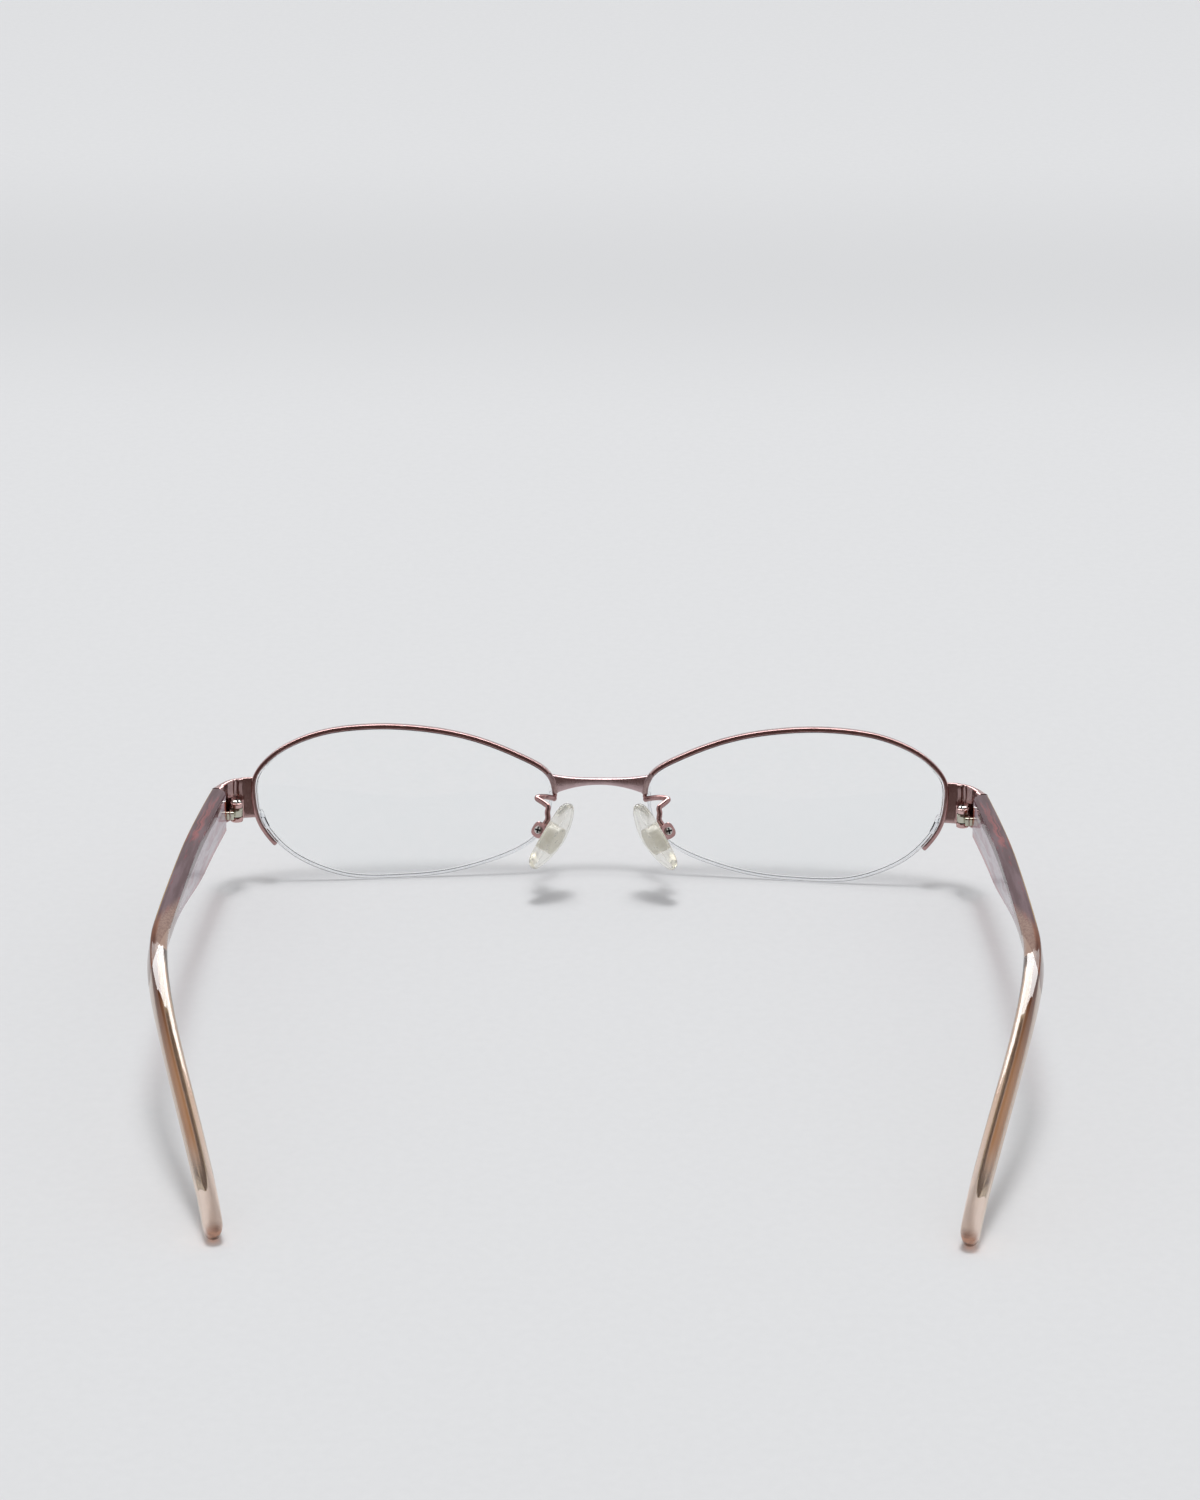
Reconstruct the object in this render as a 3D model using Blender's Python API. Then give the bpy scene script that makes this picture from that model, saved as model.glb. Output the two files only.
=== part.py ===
"""Semi-rimless eyeglasses, standing open on the lower edges of the lenses and the ends of the temples.

Metres, +Z up. The front of the glasses faces +Y, the temples run back along -Y, and the wearer's right
is at +X. The origin is under the middle of the whole object, at the height of what it stands on.
Each side is worked out for the right half and mirrored in X for the left.
"""

import math

import bmesh
import bpy
from mathutils import Matrix, Vector

# Lenses and front
LENS_WIDTH = 0.0510
LENS_HEIGHT = 0.0265
LENS_GAP = 0.0164
LENS_THICKNESS = 0.0020
LENS_DOME = 0.0012
GROOVE_DEPTH = 0.0006
GROOVE_WIDTH = 0.0006
WRAP_RADIUS = 0.360
FRONT_TILT = math.radians(12)

# Half rims, liners and cords
RIM_CLEARANCE = 0.0001
RIM_THICKNESS = 0.00075
RIM_DEPTH = 0.0018
RIM_CHANNEL_DEPTH = 0.00035
RIM_NASAL_END = 0.0138
RIM_TEMPORAL_END = 0.0072
LINER_CLEARANCE = 0.00008
LINER_NASAL_END = 0.0152
LINER_TEMPORAL_END = 0.0120
CORD_DIAMETER = 0.00044
STRIP_END_GAP = 0.0003

# Bridge
BRIDGE_DEPTH = 0.0015
BRIDGE_ARCH = 0.0008
BRIDGE_END_LOW = 0.0146
BRIDGE_END_HIGH = 0.0178
BRIDGE_MIDDLE_LOW = 0.0159
BRIDGE_MIDDLE_HIGH = 0.0170
BRAZE_GAP = 0.00006

# Hinges
HINGE_BESIDE_LENS = 0.0030
HINGE_OUT = LENS_GAP / 2 + LENS_WIDTH + HINGE_BESIDE_LENS
HINGE_BACK = 0.0055
HINGE_HEIGHT = 0.0141
HINGE_LEAN = math.radians(5.3)
BARREL_DIAMETER = 0.0021
KNUCKLE_HEIGHT = 0.00085
MIDDLE_KNUCKLE_HEIGHT = 0.0015
KNUCKLE_GAP = 0.0001
HINGE_LEAF_GAP = 0.00015
HINGE_SCREW_DIAMETER = 0.0007
SCREW_CLEARANCE = 0.00006
SCREW_HEAD_DIAMETER = 0.0017
SCREW_HEAD_HEIGHT = 0.0004
SCREW_SEAT_GAP = 0.00003
TEMPLE_LEAF_LENGTH = 0.0100
TEMPLE_LEAF_THICKNESS = 0.0008
TEMPLE_LEAF_RISE = 0.0020
NECK_LENGTH = 0.0010
POCKET_CLEARANCE = 0.0001

# Endpieces
ENDPIECE_THICKNESS = 0.0012
ENDPIECE_REAR_THICKNESS = 0.0015
ENDPIECE_LOW = 0.0119
ENDPIECE_HIGH = 0.0189
ENDPIECE_CORNER = 0.0034
ENDPIECE_REACH = 0.0040
ENDPIECE_SPLAY = math.radians(25)
TEMPLE_STOP_GAP = 0.0003

# Temples and tips
TEMPLE_THICKNESS = 0.0029
TEMPLE_HEIGHT = 0.0070
TIP_HEIGHT = 0.0042
TEMPLE_INSIDE = 0.0012
TEMPLE_FRONT_BACK = 0.0010
TEMPLE_FRONT_RISE = 0.0010
MITRE_WIDTH = 0.00125
MITRE_LENGTH = 0.0021
TEMPLE_CORNER = 0.0005
TIP_CORNER = 0.0012
TEMPLE_LENGTH = 0.0640
TEMPLE_WIDE_LENGTH = 0.0220
TEMPLE_TAPER_END = 0.0555
TEMPLE_BOW = 0.0031
TEMPLE_TWIST = math.radians(10)
BEND_REACH = 0.0200
TIP_REACH = 0.0136
TIP_BACK = 0.0515
TIP_INWARD = 0.0130
TIP_SLOPE = math.radians(46)
TIP_TURN = math.radians(13)
TIP_END_ROUND = 0.0022
SCARF_PLACE = 0.0700
SCARF_LENGTH = 0.0140
SCARF_GAP = 0.0001

# Steel core
CORE_WIDTH = 0.0010
CORE_HEIGHT = 0.0014
CORE_CLEARANCE = 0.00015
CORE_END_MARGIN = 0.0075
CORE_POINT_LENGTH = 0.0040

# Nose pads and their arms
PAD_LENGTH = 0.0130
PAD_FRONT_WIDTH = 0.0039
PAD_BACK_WIDTH = 0.0021
PAD_FRONT_FULLNESS = 1.5
PAD_BACK_FULLNESS = 3.4
PAD_BEHIND_SCREW = 0.0012
PAD_THICKNESS = 0.0020
PAD_OUT = LENS_GAP / 2
PAD_BACK = 0.0076
PAD_HEIGHT = 0.0107
ARMS_BENT = 0.0007
PAD_FLARE = math.radians(31)
PAD_SPLAY = math.radians(31)
PAD_LEAN = math.radians(16)
INSERT_LENGTH = 0.0050
INSERT_WIDTH = 0.0034
INSERT_THICKNESS = 0.0014
INSERT_CLEARANCE = 0.00008
INSERT_DROP = 0.0005
LUG_THICKNESS = 0.0008
LUG_REACH = 0.0030
LUG_RADIUS = 0.00075
LUG_LENGTH = 0.0010
BOX_LENGTH = 0.0028
BOX_WALL = 0.0005
BOX_WEB = 0.0005
BOX_ROUNDING = 0.0009
BOX_CLEARANCE = 0.0001
BOX_MOUTH_GAP = 0.0008
PAD_SCREW_DIAMETER = 0.0007
PAD_SCREW_HEAD = 0.0014
PAD_SCREW_HEAD_HEIGHT = 0.0003
ARM_DIAMETER = 0.00095
ARM_ROUTE = (
    (0.0017, -0.0019, 0.0012), (0.0031, -0.0033, 0.0018), (0.0035, -0.0040, 0.0018),
    (0.0026, -0.0050, 0.0015), (0.0018, -0.0058, 0.0011), (0.0019, -0.0063, 0.0003),
)

# How finely round shapes are cut
OUTLINE_POINTS = 56
ROUND_POINTS = 20
PAD_POINTS = 24

# How far cutters run past what they cut, and the small step that keeps the faces of joined solids apart
CUTTER_MARGIN = 0.00025
FACE_STEP = 0.00003

# The lens outline in shares of its half width and half height, nasal side at -1, from the lowest point
# up the nasal side, over the top and down the temporal side
LENS_SHAPE = (
    (-0.03, -1.00), (-0.36, -0.932), (-0.68, -0.747), (-0.886, -0.52), (-0.975, -0.24), (-1.00, 0.07),
    (-0.949, 0.358), (-0.749, 0.585), (-0.459, 0.808), (-0.157, 0.94), (0.188, 1.00), (0.533, 0.955),
    (0.804, 0.774), (0.969, 0.502), (1.00, 0.208), (0.941, -0.238), (0.729, -0.675), (0.384, -0.962),
)

SIDES = (("left", -1), ("right", 1))

for old in list(bpy.data.objects):
    bpy.data.objects.remove(old)

parts = bpy.data.collections.new("eyeglasses")
cutters = bpy.data.collections.new("cutters")
cutters.hide_render = True
for collection in (parts, cutters):
    bpy.context.scene.collection.children.link(collection)


def make_material(name, color, roughness, metallic=0.0, transmission=0.0, alpha=1.0):
    material = bpy.data.materials.new(name)
    material.use_nodes = True
    shader = material.node_tree.nodes["Principled BSDF"]
    shader.inputs["Base Color"].default_value = (*color, 1)
    shader.inputs["Roughness"].default_value = roughness
    shader.inputs["Metallic"].default_value = metallic
    shader.inputs["Transmission Weight"].default_value = transmission
    shader.inputs["Alpha"].default_value = alpha
    material.diffuse_color = (*color, alpha)
    return material


MAUVE_METAL = make_material("mauve plated metal", (0.34, 0.21, 0.22), 0.32, metallic=1)
POLISHED_STEEL = make_material("polished steel", (0.62, 0.61, 0.57), 0.22, metallic=1)
CLEAR_LENS = make_material("clear lens", (0.96, 0.98, 0.98), 0.02, transmission=1, alpha=0.15)
CLEAR_NYLON = make_material("clear nylon", (0.86, 0.87, 0.86), 0.3, transmission=0.6, alpha=0.6)
PAD_PLASTIC = make_material("clear pad plastic", (0.80, 0.80, 0.70), 0.18, transmission=0.7, alpha=0.6)
MAUVE_ACETATE = make_material("mauve acetate", (0.22, 0.16, 0.19), 0.12)
AMBER_ACETATE = make_material("amber acetate", (0.62, 0.40, 0.28), 0.10, transmission=0.5)


def new_empty(name, place, parent=None):
    empty = bpy.data.objects.new(name, None)
    parts.objects.link(empty)
    empty.empty_display_size = 0.004
    empty.parent = parent
    empty.location = place
    return empty


def mesh_object(name, shape, material=None, collection=parts):
    """Turns a bmesh, whose points are in the whole object's frame, into an object."""
    bmesh.ops.recalc_face_normals(shape, faces=shape.faces)
    mesh = bpy.data.meshes.new(name)
    shape.to_mesh(mesh)
    shape.free()
    mesh.shade_smooth()
    mesh.set_sharp_from_angle(angle=math.radians(32))
    thing = bpy.data.objects.new(name, mesh)
    collection.objects.link(thing)
    if material:
        mesh.materials.append(material)
    if collection == cutters:
        thing.hide_render = True
        thing.display_type = "WIRE"
    return thing


def loft(rings, strips=False):
    """Skins rings of equally many points and caps both ends.

    Strips caps an end that isn't flat: each point is joined with its partner, counted from the ring's end.
    """
    shape = bmesh.new()
    loops = [[shape.verts.new(point) for point in ring] for ring in rings]
    count = len(loops[0])
    for loop in (loops[0], loops[-1]):
        if strips:
            for i in range(count // 2 - 1):
                shape.faces.new((loop[i], loop[i + 1], loop[-2 - i], loop[-1 - i]))
        else:
            shape.faces.new(loop)
    for first, second in zip(loops, loops[1:]):
        for i in range(count):
            j = (i + 1) % count
            shape.faces.new((first[i], first[j], second[j], second[i]))
    return shape


def frame_matrix(place, x_axis, y_axis, z_axis):
    rows = [(x_axis[i], y_axis[i], z_axis[i], place[i]) for i in range(3)]
    return Matrix(rows + [(0, 0, 0, 1)])


def add_box(shape, matrix, low, high):
    """A box between two corners that are given in the matrix's frame."""
    size = [high[i] - low[i] for i in range(3)]
    middle = [(high[i] + low[i]) / 2 for i in range(3)]
    place = matrix @ Matrix.Translation(middle) @ Matrix.Diagonal((*size, 1))
    bmesh.ops.create_cube(shape, size=1, matrix=place)
    return shape


def add_cylinder(shape, matrix, radius, low, high, points=ROUND_POINTS):
    """A cylinder along the matrix's Z axis, from low to high."""
    place = matrix @ Matrix.Translation((0, 0, (low + high) / 2))
    bmesh.ops.create_cone(
        shape, cap_ends=True, segments=points, radius1=radius, radius2=radius, depth=high - low, matrix=place,
    )
    return shape


def turned(matrix, profile, points):
    """A solid turned about the matrix's Z axis from a profile of (radius, height) points."""
    angles = [2 * math.pi * k / points for k in range(points)]
    return loft([
        [matrix @ Vector((radius * math.cos(a), radius * math.sin(a), z)) for a in angles]
        for radius, z in profile
    ])


def cut(thing, cutter, operation="DIFFERENCE"):
    change = thing.modifiers.new(cutter.name, "BOOLEAN")
    change.operation = operation
    change.object = cutter
    change.solver = "EXACT"


def ride(thing, empty):
    """Parents a piece, with the cutters that shape it, to an empty without moving it."""
    for piece in [thing] + [change.object for change in thing.modifiers]:
        if piece.parent is None:
            piece.parent = empty
            piece.matrix_parent_inverse = empty.matrix_world.inverted()


def across(side, point):
    """The right half's point, or its mirror image on the left."""
    return Vector((side * point[0], point[1], point[2]))


def wrap(out):
    return -out * out / (2 * WRAP_RADIUS)


def front_point(side, out, forward, up):
    """A point of the tilted and wrapped front: out from the middle, forward of its plane, up along it."""
    y = forward * math.cos(FRONT_TILT) + up * math.sin(FRONT_TILT) + wrap(out)
    z = up * math.cos(FRONT_TILT) - forward * math.sin(FRONT_TILT)
    return across(side, (out, y, z))


def smooth_loop(points, steps):
    """Catmull-Rom curve through a closed list of points."""
    curve = []
    count = len(points)
    for i in range(count):
        a, b, c, d = (Vector(points[(i + k) % count]) for k in (-1, 0, 1, 2))
        for step in range(steps):
            t = step / steps
            curve.append(
                0.5 * (2 * b + (c - a) * t + (2 * a - 5 * b + 4 * c - d) * t * t
                       + (3 * b - a - 3 * c + d) * t ** 3)
            )
    return curve


def even_points(curve, count, closed):
    """Points spaced evenly along a fine polyline."""
    ends = curve + curve[:1] if closed else curve
    lengths = [0.0]
    for a, b in zip(ends, ends[1:]):
        lengths.append(lengths[-1] + (b - a).length)
    spots = []
    steps = count if closed else count - 1
    place = 0
    for i in range(count):
        target = lengths[-1] * i / steps
        while place < len(ends) - 2 and lengths[place + 1] < target:
            place += 1
        share = (target - lengths[place]) / (lengths[place + 1] - lengths[place])
        spots.append(ends[place].lerp(ends[place + 1], share))
    return spots


def make_outline():
    """Lens edge as (out, up) points with their outward normals, from the lowest point up the nasal side."""
    curve = smooth_loop(LENS_SHAPE, 16)
    low = Vector((min(p.x for p in curve), min(p.y for p in curve)))
    high = Vector((max(p.x for p in curve), max(p.y for p in curve)))
    fitted = [
        Vector((
            LENS_GAP / 2 + LENS_WIDTH * (p.x - low.x) / (high.x - low.x),
            LENS_HEIGHT * (p.y - low.y) / (high.y - low.y),
        ))
        for p in curve
    ]
    lowest = min(range(len(fitted)), key=lambda i: fitted[i].y)
    points = even_points(fitted[lowest:] + fitted[:lowest], OUTLINE_POINTS, closed=True)
    normals = []
    for i in range(OUTLINE_POINTS):
        along = points[(i + 1) % OUTLINE_POINTS] - points[i - 1]
        normals.append(Vector((-along.y, along.x)).normalized())
    return points, normals


OUTLINE, NORMALS = make_outline()
LENS_MIDDLE = Vector((LENS_GAP / 2 + LENS_WIDTH / 2, LENS_HEIGHT / 2))


def outline_place(height, temporal):
    """Where the outline reaches a height on one side, as an index with a fraction."""
    half = OUTLINE_POINTS // 2
    for i in range(half, OUTLINE_POINTS) if temporal else range(half):
        a, b = OUTLINE[i].y, OUTLINE[(i + 1) % OUTLINE_POINTS].y
        if min(a, b) <= height <= max(a, b):
            return i + (height - a) / (b - a)
    return half


def edge_places(first, last):
    """The places from first to last at which a strip along the edge has a section."""
    return [first] + [i for i in range(math.ceil(first), math.ceil(last)) if i > first] + [last]


def edge_point(side, place, offset, forward):
    """A point beside the lens edge: offset outwards from it, and forward of the lens's middle plane."""
    low = math.floor(place)
    a, b = (OUTLINE[i % OUTLINE_POINTS] + NORMALS[i % OUTLINE_POINTS] * offset for i in (low, low + 1))
    spot = a.lerp(b, place - low)
    return front_point(side, spot.x, forward, spot.y)


OUTLINE_STEP = (OUTLINE[1] - OUTLINE[0]).length
RIM_OUTSIDE = RIM_CLEARANCE + RIM_THICKNESS


def rim_side(temporal):
    """The rim's outer side as (out, up) corners, its nasal or its temporal half, from low to high."""
    half = range(OUTLINE_POINTS // 2, OUTLINE_POINTS) if temporal else range(OUTLINE_POINTS // 2)
    spots = [OUTLINE[i] + NORMALS[i] * RIM_OUTSIDE for i in half]
    return spots[::-1] if temporal else spots


def side_out(height, temporal):
    """How far out the rim's outer side lies at a height up the front."""
    spots = rim_side(temporal)
    for a, b in zip(spots, spots[1:]):
        if a.y <= height <= b.y:
            return a.x + (b.x - a.x) * (height - a.y) / (b.y - a.y)
    return spots[-1].x


def side_levels(low, high, temporal):
    """Shares of the way from a low to a high place on the rim's side, with the rim's corners between."""
    corners = [spot.y for spot in rim_side(temporal) if low < spot.y < high]
    return [(height - low) / (high - low) for height in [low] + corners + [high]]


def make_lens(name, side):
    half = LENS_THICKNESS / 2
    lip = GROOVE_WIDTH / 2

    def dome_ring(share, forward):
        ring = []
        for spot in OUTLINE:
            inner = LENS_MIDDLE.lerp(spot, share)
            ring.append(front_point(side, inner.x, forward + LENS_DOME * (1 - share * share), inner.y))
        return ring

    rings = [dome_ring(share, half) for share in (0.4, 0.8)]
    edge = ((0, half), (0, lip), (-GROOVE_DEPTH, lip), (-GROOVE_DEPTH, -lip), (0, -lip), (0, -half))
    for offset, forward in edge:
        rings.append([edge_point(side, i, offset, forward) for i in range(OUTLINE_POINTS)])
    rings += [dome_ring(share, -half) for share in (0.8, 0.4)]
    return mesh_object(f"lens_{name}", loft(rings), CLEAR_LENS)


def make_rim(name, side):
    half = RIM_DEPTH / 2
    lip = GROOVE_WIDTH / 2
    floor = RIM_CLEARANCE + RIM_CHANNEL_DEPTH
    shoulder = RIM_OUTSIDE - RIM_CLEARANCE - RIM_THICKNESS / 3
    crown = half - RIM_THICKNESS / 3
    section = (
        (RIM_CLEARANCE, -half), (RIM_CLEARANCE, -lip), (floor, -lip), (floor, lip),
        (RIM_CLEARANCE, lip), (RIM_CLEARANCE, half), (shoulder, half),
        (RIM_OUTSIDE, crown), (RIM_OUTSIDE, -crown), (shoulder, -half),
    )
    stations = edge_places(outline_place(RIM_NASAL_END, False), outline_place(RIM_TEMPORAL_END, True))
    rings = [[edge_point(side, i, offset, forward) for offset, forward in section] for i in stations]
    return mesh_object(f"rim_{name}", loft(rings), MAUVE_METAL)


def make_liner(name, side):
    half = GROOVE_WIDTH / 2 - LINER_CLEARANCE
    inner = -GROOVE_DEPTH + LINER_CLEARANCE
    outer = RIM_CLEARANCE + RIM_CHANNEL_DEPTH - LINER_CLEARANCE
    section = ((inner, -half), (inner, half), (outer, half), (outer, -half))
    stations = edge_places(outline_place(LINER_NASAL_END, False), outline_place(LINER_TEMPORAL_END, True))
    rings = [[edge_point(side, i, offset, forward) for offset, forward in section] for i in stations]
    return mesh_object(f"rim_liner_{name}", loft(rings), CLEAR_NYLON)


def tube(name, points, diameter, sides_level, material):
    """A round wire through the points, as a curve with closed ends."""
    curve = bpy.data.curves.new(name, "CURVE")
    curve.dimensions = "3D"
    curve.bevel_depth = diameter / 2
    curve.bevel_resolution = sides_level
    curve.use_fill_caps = True
    spline = curve.splines.new("POLY")
    spline.points.add(len(points) - 1)
    for spot, point in zip(spline.points, points):
        spot.co = (*point, 1)
    curve.materials.append(material)
    thing = bpy.data.objects.new(name, curve)
    parts.objects.link(thing)
    return thing


def make_cord(name, side):
    """The nylon cord under the lens, between the ends of the liner."""
    depth = GROOVE_DEPTH - CORD_DIAMETER / 2 - LINER_CLEARANCE
    gap = STRIP_END_GAP / OUTLINE_STEP
    first = outline_place(LINER_TEMPORAL_END, True) + gap
    last = OUTLINE_POINTS + outline_place(LINER_NASAL_END, False) - gap
    points = [edge_point(side, place, -depth, 0) for place in edge_places(first, last)]
    return tube(f"nylon_cord_{name}", points, CORD_DIAMETER, 1, CLEAR_NYLON)


def make_bridge():
    """The band between the rims: deep where it meets them, slim and arched forward in the middle."""
    levels = side_levels(BRIDGE_END_LOW, BRIDGE_END_HIGH, temporal=False)
    ends = []
    for share in levels:
        height = BRIDGE_END_LOW + (BRIDGE_END_HIGH - BRIDGE_END_LOW) * share
        ends.append(side_out(height, temporal=False) - BRAZE_GAP)
    rings = []
    for step in range(-8, 9):
        s = step / 8
        low = BRIDGE_MIDDLE_LOW + (BRIDGE_END_LOW - BRIDGE_MIDDLE_LOW) * abs(s) ** 2
        high = BRIDGE_MIDDLE_HIGH + (BRIDGE_END_HIGH - BRIDGE_MIDDLE_HIGH) * abs(s) ** 2.6
        forward = BRIDGE_ARCH * (1 - s * s)
        back_side = []
        front_side = []
        for share, reach in zip(levels, ends):
            up = low + (high - low) * share
            back_side.append(front_point(1, s * reach, forward - BRIDGE_DEPTH / 2, up))
            front_side.append(front_point(1, s * reach, forward + BRIDGE_DEPTH / 2, up))
        rings.append(back_side + front_side[::-1])
    return mesh_object("bridge", loft(rings, strips=True), MAUVE_METAL)


def hinge_matrix(side):
    """The hinge's own frame: its axis is Z, forward is Y, and X points away from the middle."""
    forward = Vector((0, math.cos(HINGE_LEAN), -math.sin(HINGE_LEAN)))
    axis = Vector((0, math.sin(HINGE_LEAN), math.cos(HINGE_LEAN)))
    place = Vector((side * HINGE_OUT, -HINGE_BACK, HINGE_HEIGHT))
    return frame_matrix(place, Vector((side, 0, 0)), forward, axis)


def bezier(points, t):
    a, b, c, d = points
    return a * (1 - t) ** 3 + b * (3 * t * (1 - t) ** 2) + c * (3 * t * t * (1 - t)) + d * t ** 3


TEMPLE_OUTSIDE = TEMPLE_INSIDE + TEMPLE_THICKNESS
BARREL_HALF = MIDDLE_KNUCKLE_HEIGHT / 2 + KNUCKLE_GAP + KNUCKLE_HEIGHT


def endpiece_point(side, t, level, outer):
    """A point of the endpiece, t of the way from the rim to the temple, at a level from 0 low to 1 high."""
    place = hinge_matrix(side)
    up = ENDPIECE_LOW + (ENDPIECE_HIGH - ENDPIECE_LOW) * level
    forward = ENDPIECE_THICKNESS / 2 if outer else -ENDPIECE_THICKNESS / 2
    start = front_point(side, side_out(up, temporal=True) + BRAZE_GAP, forward, up)
    x = TEMPLE_OUTSIDE - (0 if outer else ENDPIECE_REAR_THICKNESS)
    z = TEMPLE_FRONT_RISE + TEMPLE_HEIGHT * (level - 0.5)
    end = Vector((x, TEMPLE_STOP_GAP - TEMPLE_FRONT_BACK, z))
    turn = end + Vector((-math.sin(ENDPIECE_SPLAY), math.cos(ENDPIECE_SPLAY), 0)) * ENDPIECE_CORNER
    along = Vector((side * (ENDPIECE_REACH if outer else ENDPIECE_REACH - ENDPIECE_THICKNESS / 2), 0, 0))
    return bezier((start, start + along, place @ turn, place @ end), t)


def make_endpiece(name, side):
    levels = side_levels(ENDPIECE_LOW, ENDPIECE_HIGH, temporal=True)
    rings = []
    for step in range(9):
        t = step / 8
        inner_side = [endpiece_point(side, t, level, outer=False) for level in levels]
        outer_side = [endpiece_point(side, t, level, outer=True) for level in levels]
        rings.append(inner_side + outer_side[::-1])
    return mesh_object(f"endpiece_{name}", loft(rings, strips=True), MAUVE_METAL)


def make_hinge_front(name, side):
    """Two knuckles on a leaf that is seated on the endpiece's inner face."""
    place = hinge_matrix(side)
    to_hinge = place.inverted()
    radius = BARREL_DIAMETER / 2
    leaf_back = radius + KNUCKLE_GAP

    def seat(x, z):
        """How far forward of the hinge axis the endpiece's inner face lies."""
        level = 0.5 + (z - TEMPLE_FRONT_RISE) / TEMPLE_HEIGHT
        spots = [to_hinge @ endpiece_point(side, k / 40, level, outer=False) for k in range(41)]
        for a, b in zip(spots, spots[1:]):
            if a.x <= x <= b.x:
                return a.y + (b.y - a.y) * (x - a.x) / (b.x - a.x) - HINGE_LEAF_GAP
        return spots[0].y - HINGE_LEAF_GAP

    rings = []
    for z in (-BARREL_HALF, 0, BARREL_HALF):
        ring = [(radius, leaf_back), (-radius, leaf_back)]
        ring += [(x, seat(x, z)) for x in (-radius, -radius / 3, radius / 3, radius)]
        rings.append([place @ Vector((x, y, z)) for x, y in ring])
    thing = mesh_object(f"hinge_front_{name}", loft(rings), MAUVE_METAL)

    spans = ((-BARREL_HALF, KNUCKLE_HEIGHT - BARREL_HALF), (BARREL_HALF - KNUCKLE_HEIGHT, BARREL_HALF))
    knuckles = bmesh.new()
    necks = bmesh.new()
    half = radius * 0.8
    neck_end = leaf_back + KNUCKLE_GAP
    for low, high in spans:
        add_cylinder(knuckles, place, radius, low, high)
        add_box(necks, place, (-half, 0, low + FACE_STEP), (half, neck_end, high - FACE_STEP))
    cut(thing, mesh_object(f"front_necks_{name}", necks, collection=cutters), "UNION")
    cut(thing, mesh_object(f"front_knuckles_{name}", knuckles, collection=cutters), "UNION")
    return thing


def make_screw_hole(name, side):
    """The hole down the barrel, cut through both hinge parts."""
    hole = bmesh.new()
    radius = HINGE_SCREW_DIAMETER / 2 + SCREW_CLEARANCE
    add_cylinder(hole, hinge_matrix(side), radius, -2 * BARREL_HALF, 2 * BARREL_HALF)
    return mesh_object(f"barrel_hole_{name}", hole, collection=cutters)


def make_hinge_screw(name, side):
    """A domed head on the upper knuckle, and a shank down through the barrel."""
    shank = HINGE_SCREW_DIAMETER / 2
    head = SCREW_HEAD_DIAMETER / 2
    seat = BARREL_HALF + SCREW_SEAT_GAP
    rise = SCREW_HEAD_HEIGHT
    profile = (
        (shank * 0.7, -BARREL_HALF), (shank, -BARREL_HALF + shank * 0.3), (shank, seat), (head, seat),
        (head, seat + rise * 0.5), (head * 0.75, seat + rise * 0.85), (head * 0.3, seat + rise),
    )
    shape = turned(hinge_matrix(side), profile, ROUND_POINTS)
    return mesh_object(f"hinge_screw_{name}", shape, POLISHED_STEEL)


def smooth_step(value, low, high):
    share = min(max((value - low) / (high - low), 0), 1)
    return share * share * (3 - 2 * share)


def temple_height(s):
    """The temple's height at a distance along it: tall at the hinge, slim at the ear bend."""
    return TEMPLE_HEIGHT + (TIP_HEIGHT - TEMPLE_HEIGHT) * smooth_step(s, TEMPLE_WIDE_LENGTH, TEMPLE_TAPER_END)


def temple_line(drop):
    """The middle line of temple and tip in the hinge's frame. The top edge is straight up to the bend."""
    line = []
    steps = 60
    x_front = TEMPLE_INSIDE + TEMPLE_THICKNESS / 2
    for k in range(-2, steps):
        q = k / steps
        bow = TEMPLE_BOW * (1 - (1 - q) ** 2)
        z = TEMPLE_FRONT_RISE + (TEMPLE_HEIGHT - temple_height(q * TEMPLE_LENGTH)) / 2
        line.append(Vector((x_front + bow, -TEMPLE_FRONT_BACK - q * TEMPLE_LENGTH, z)))
    z_bend = TEMPLE_FRONT_RISE + (TEMPLE_HEIGHT - temple_height(TEMPLE_LENGTH)) / 2
    start = Vector((x_front + TEMPLE_BOW, -TEMPLE_FRONT_BACK - TEMPLE_LENGTH, z_bend))
    end = start + Vector((-TIP_INWARD, -TIP_BACK, -drop))
    level = math.cos(TIP_SLOPE)
    back_up = Vector((level * math.sin(TIP_TURN), level * math.cos(TIP_TURN), math.sin(TIP_SLOPE)))
    points = (start, start + Vector((0, -BEND_REACH, 0)), end + back_up * TIP_REACH, end)
    line += [bezier(points, k / steps) for k in range(steps + 1)]
    return line


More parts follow.
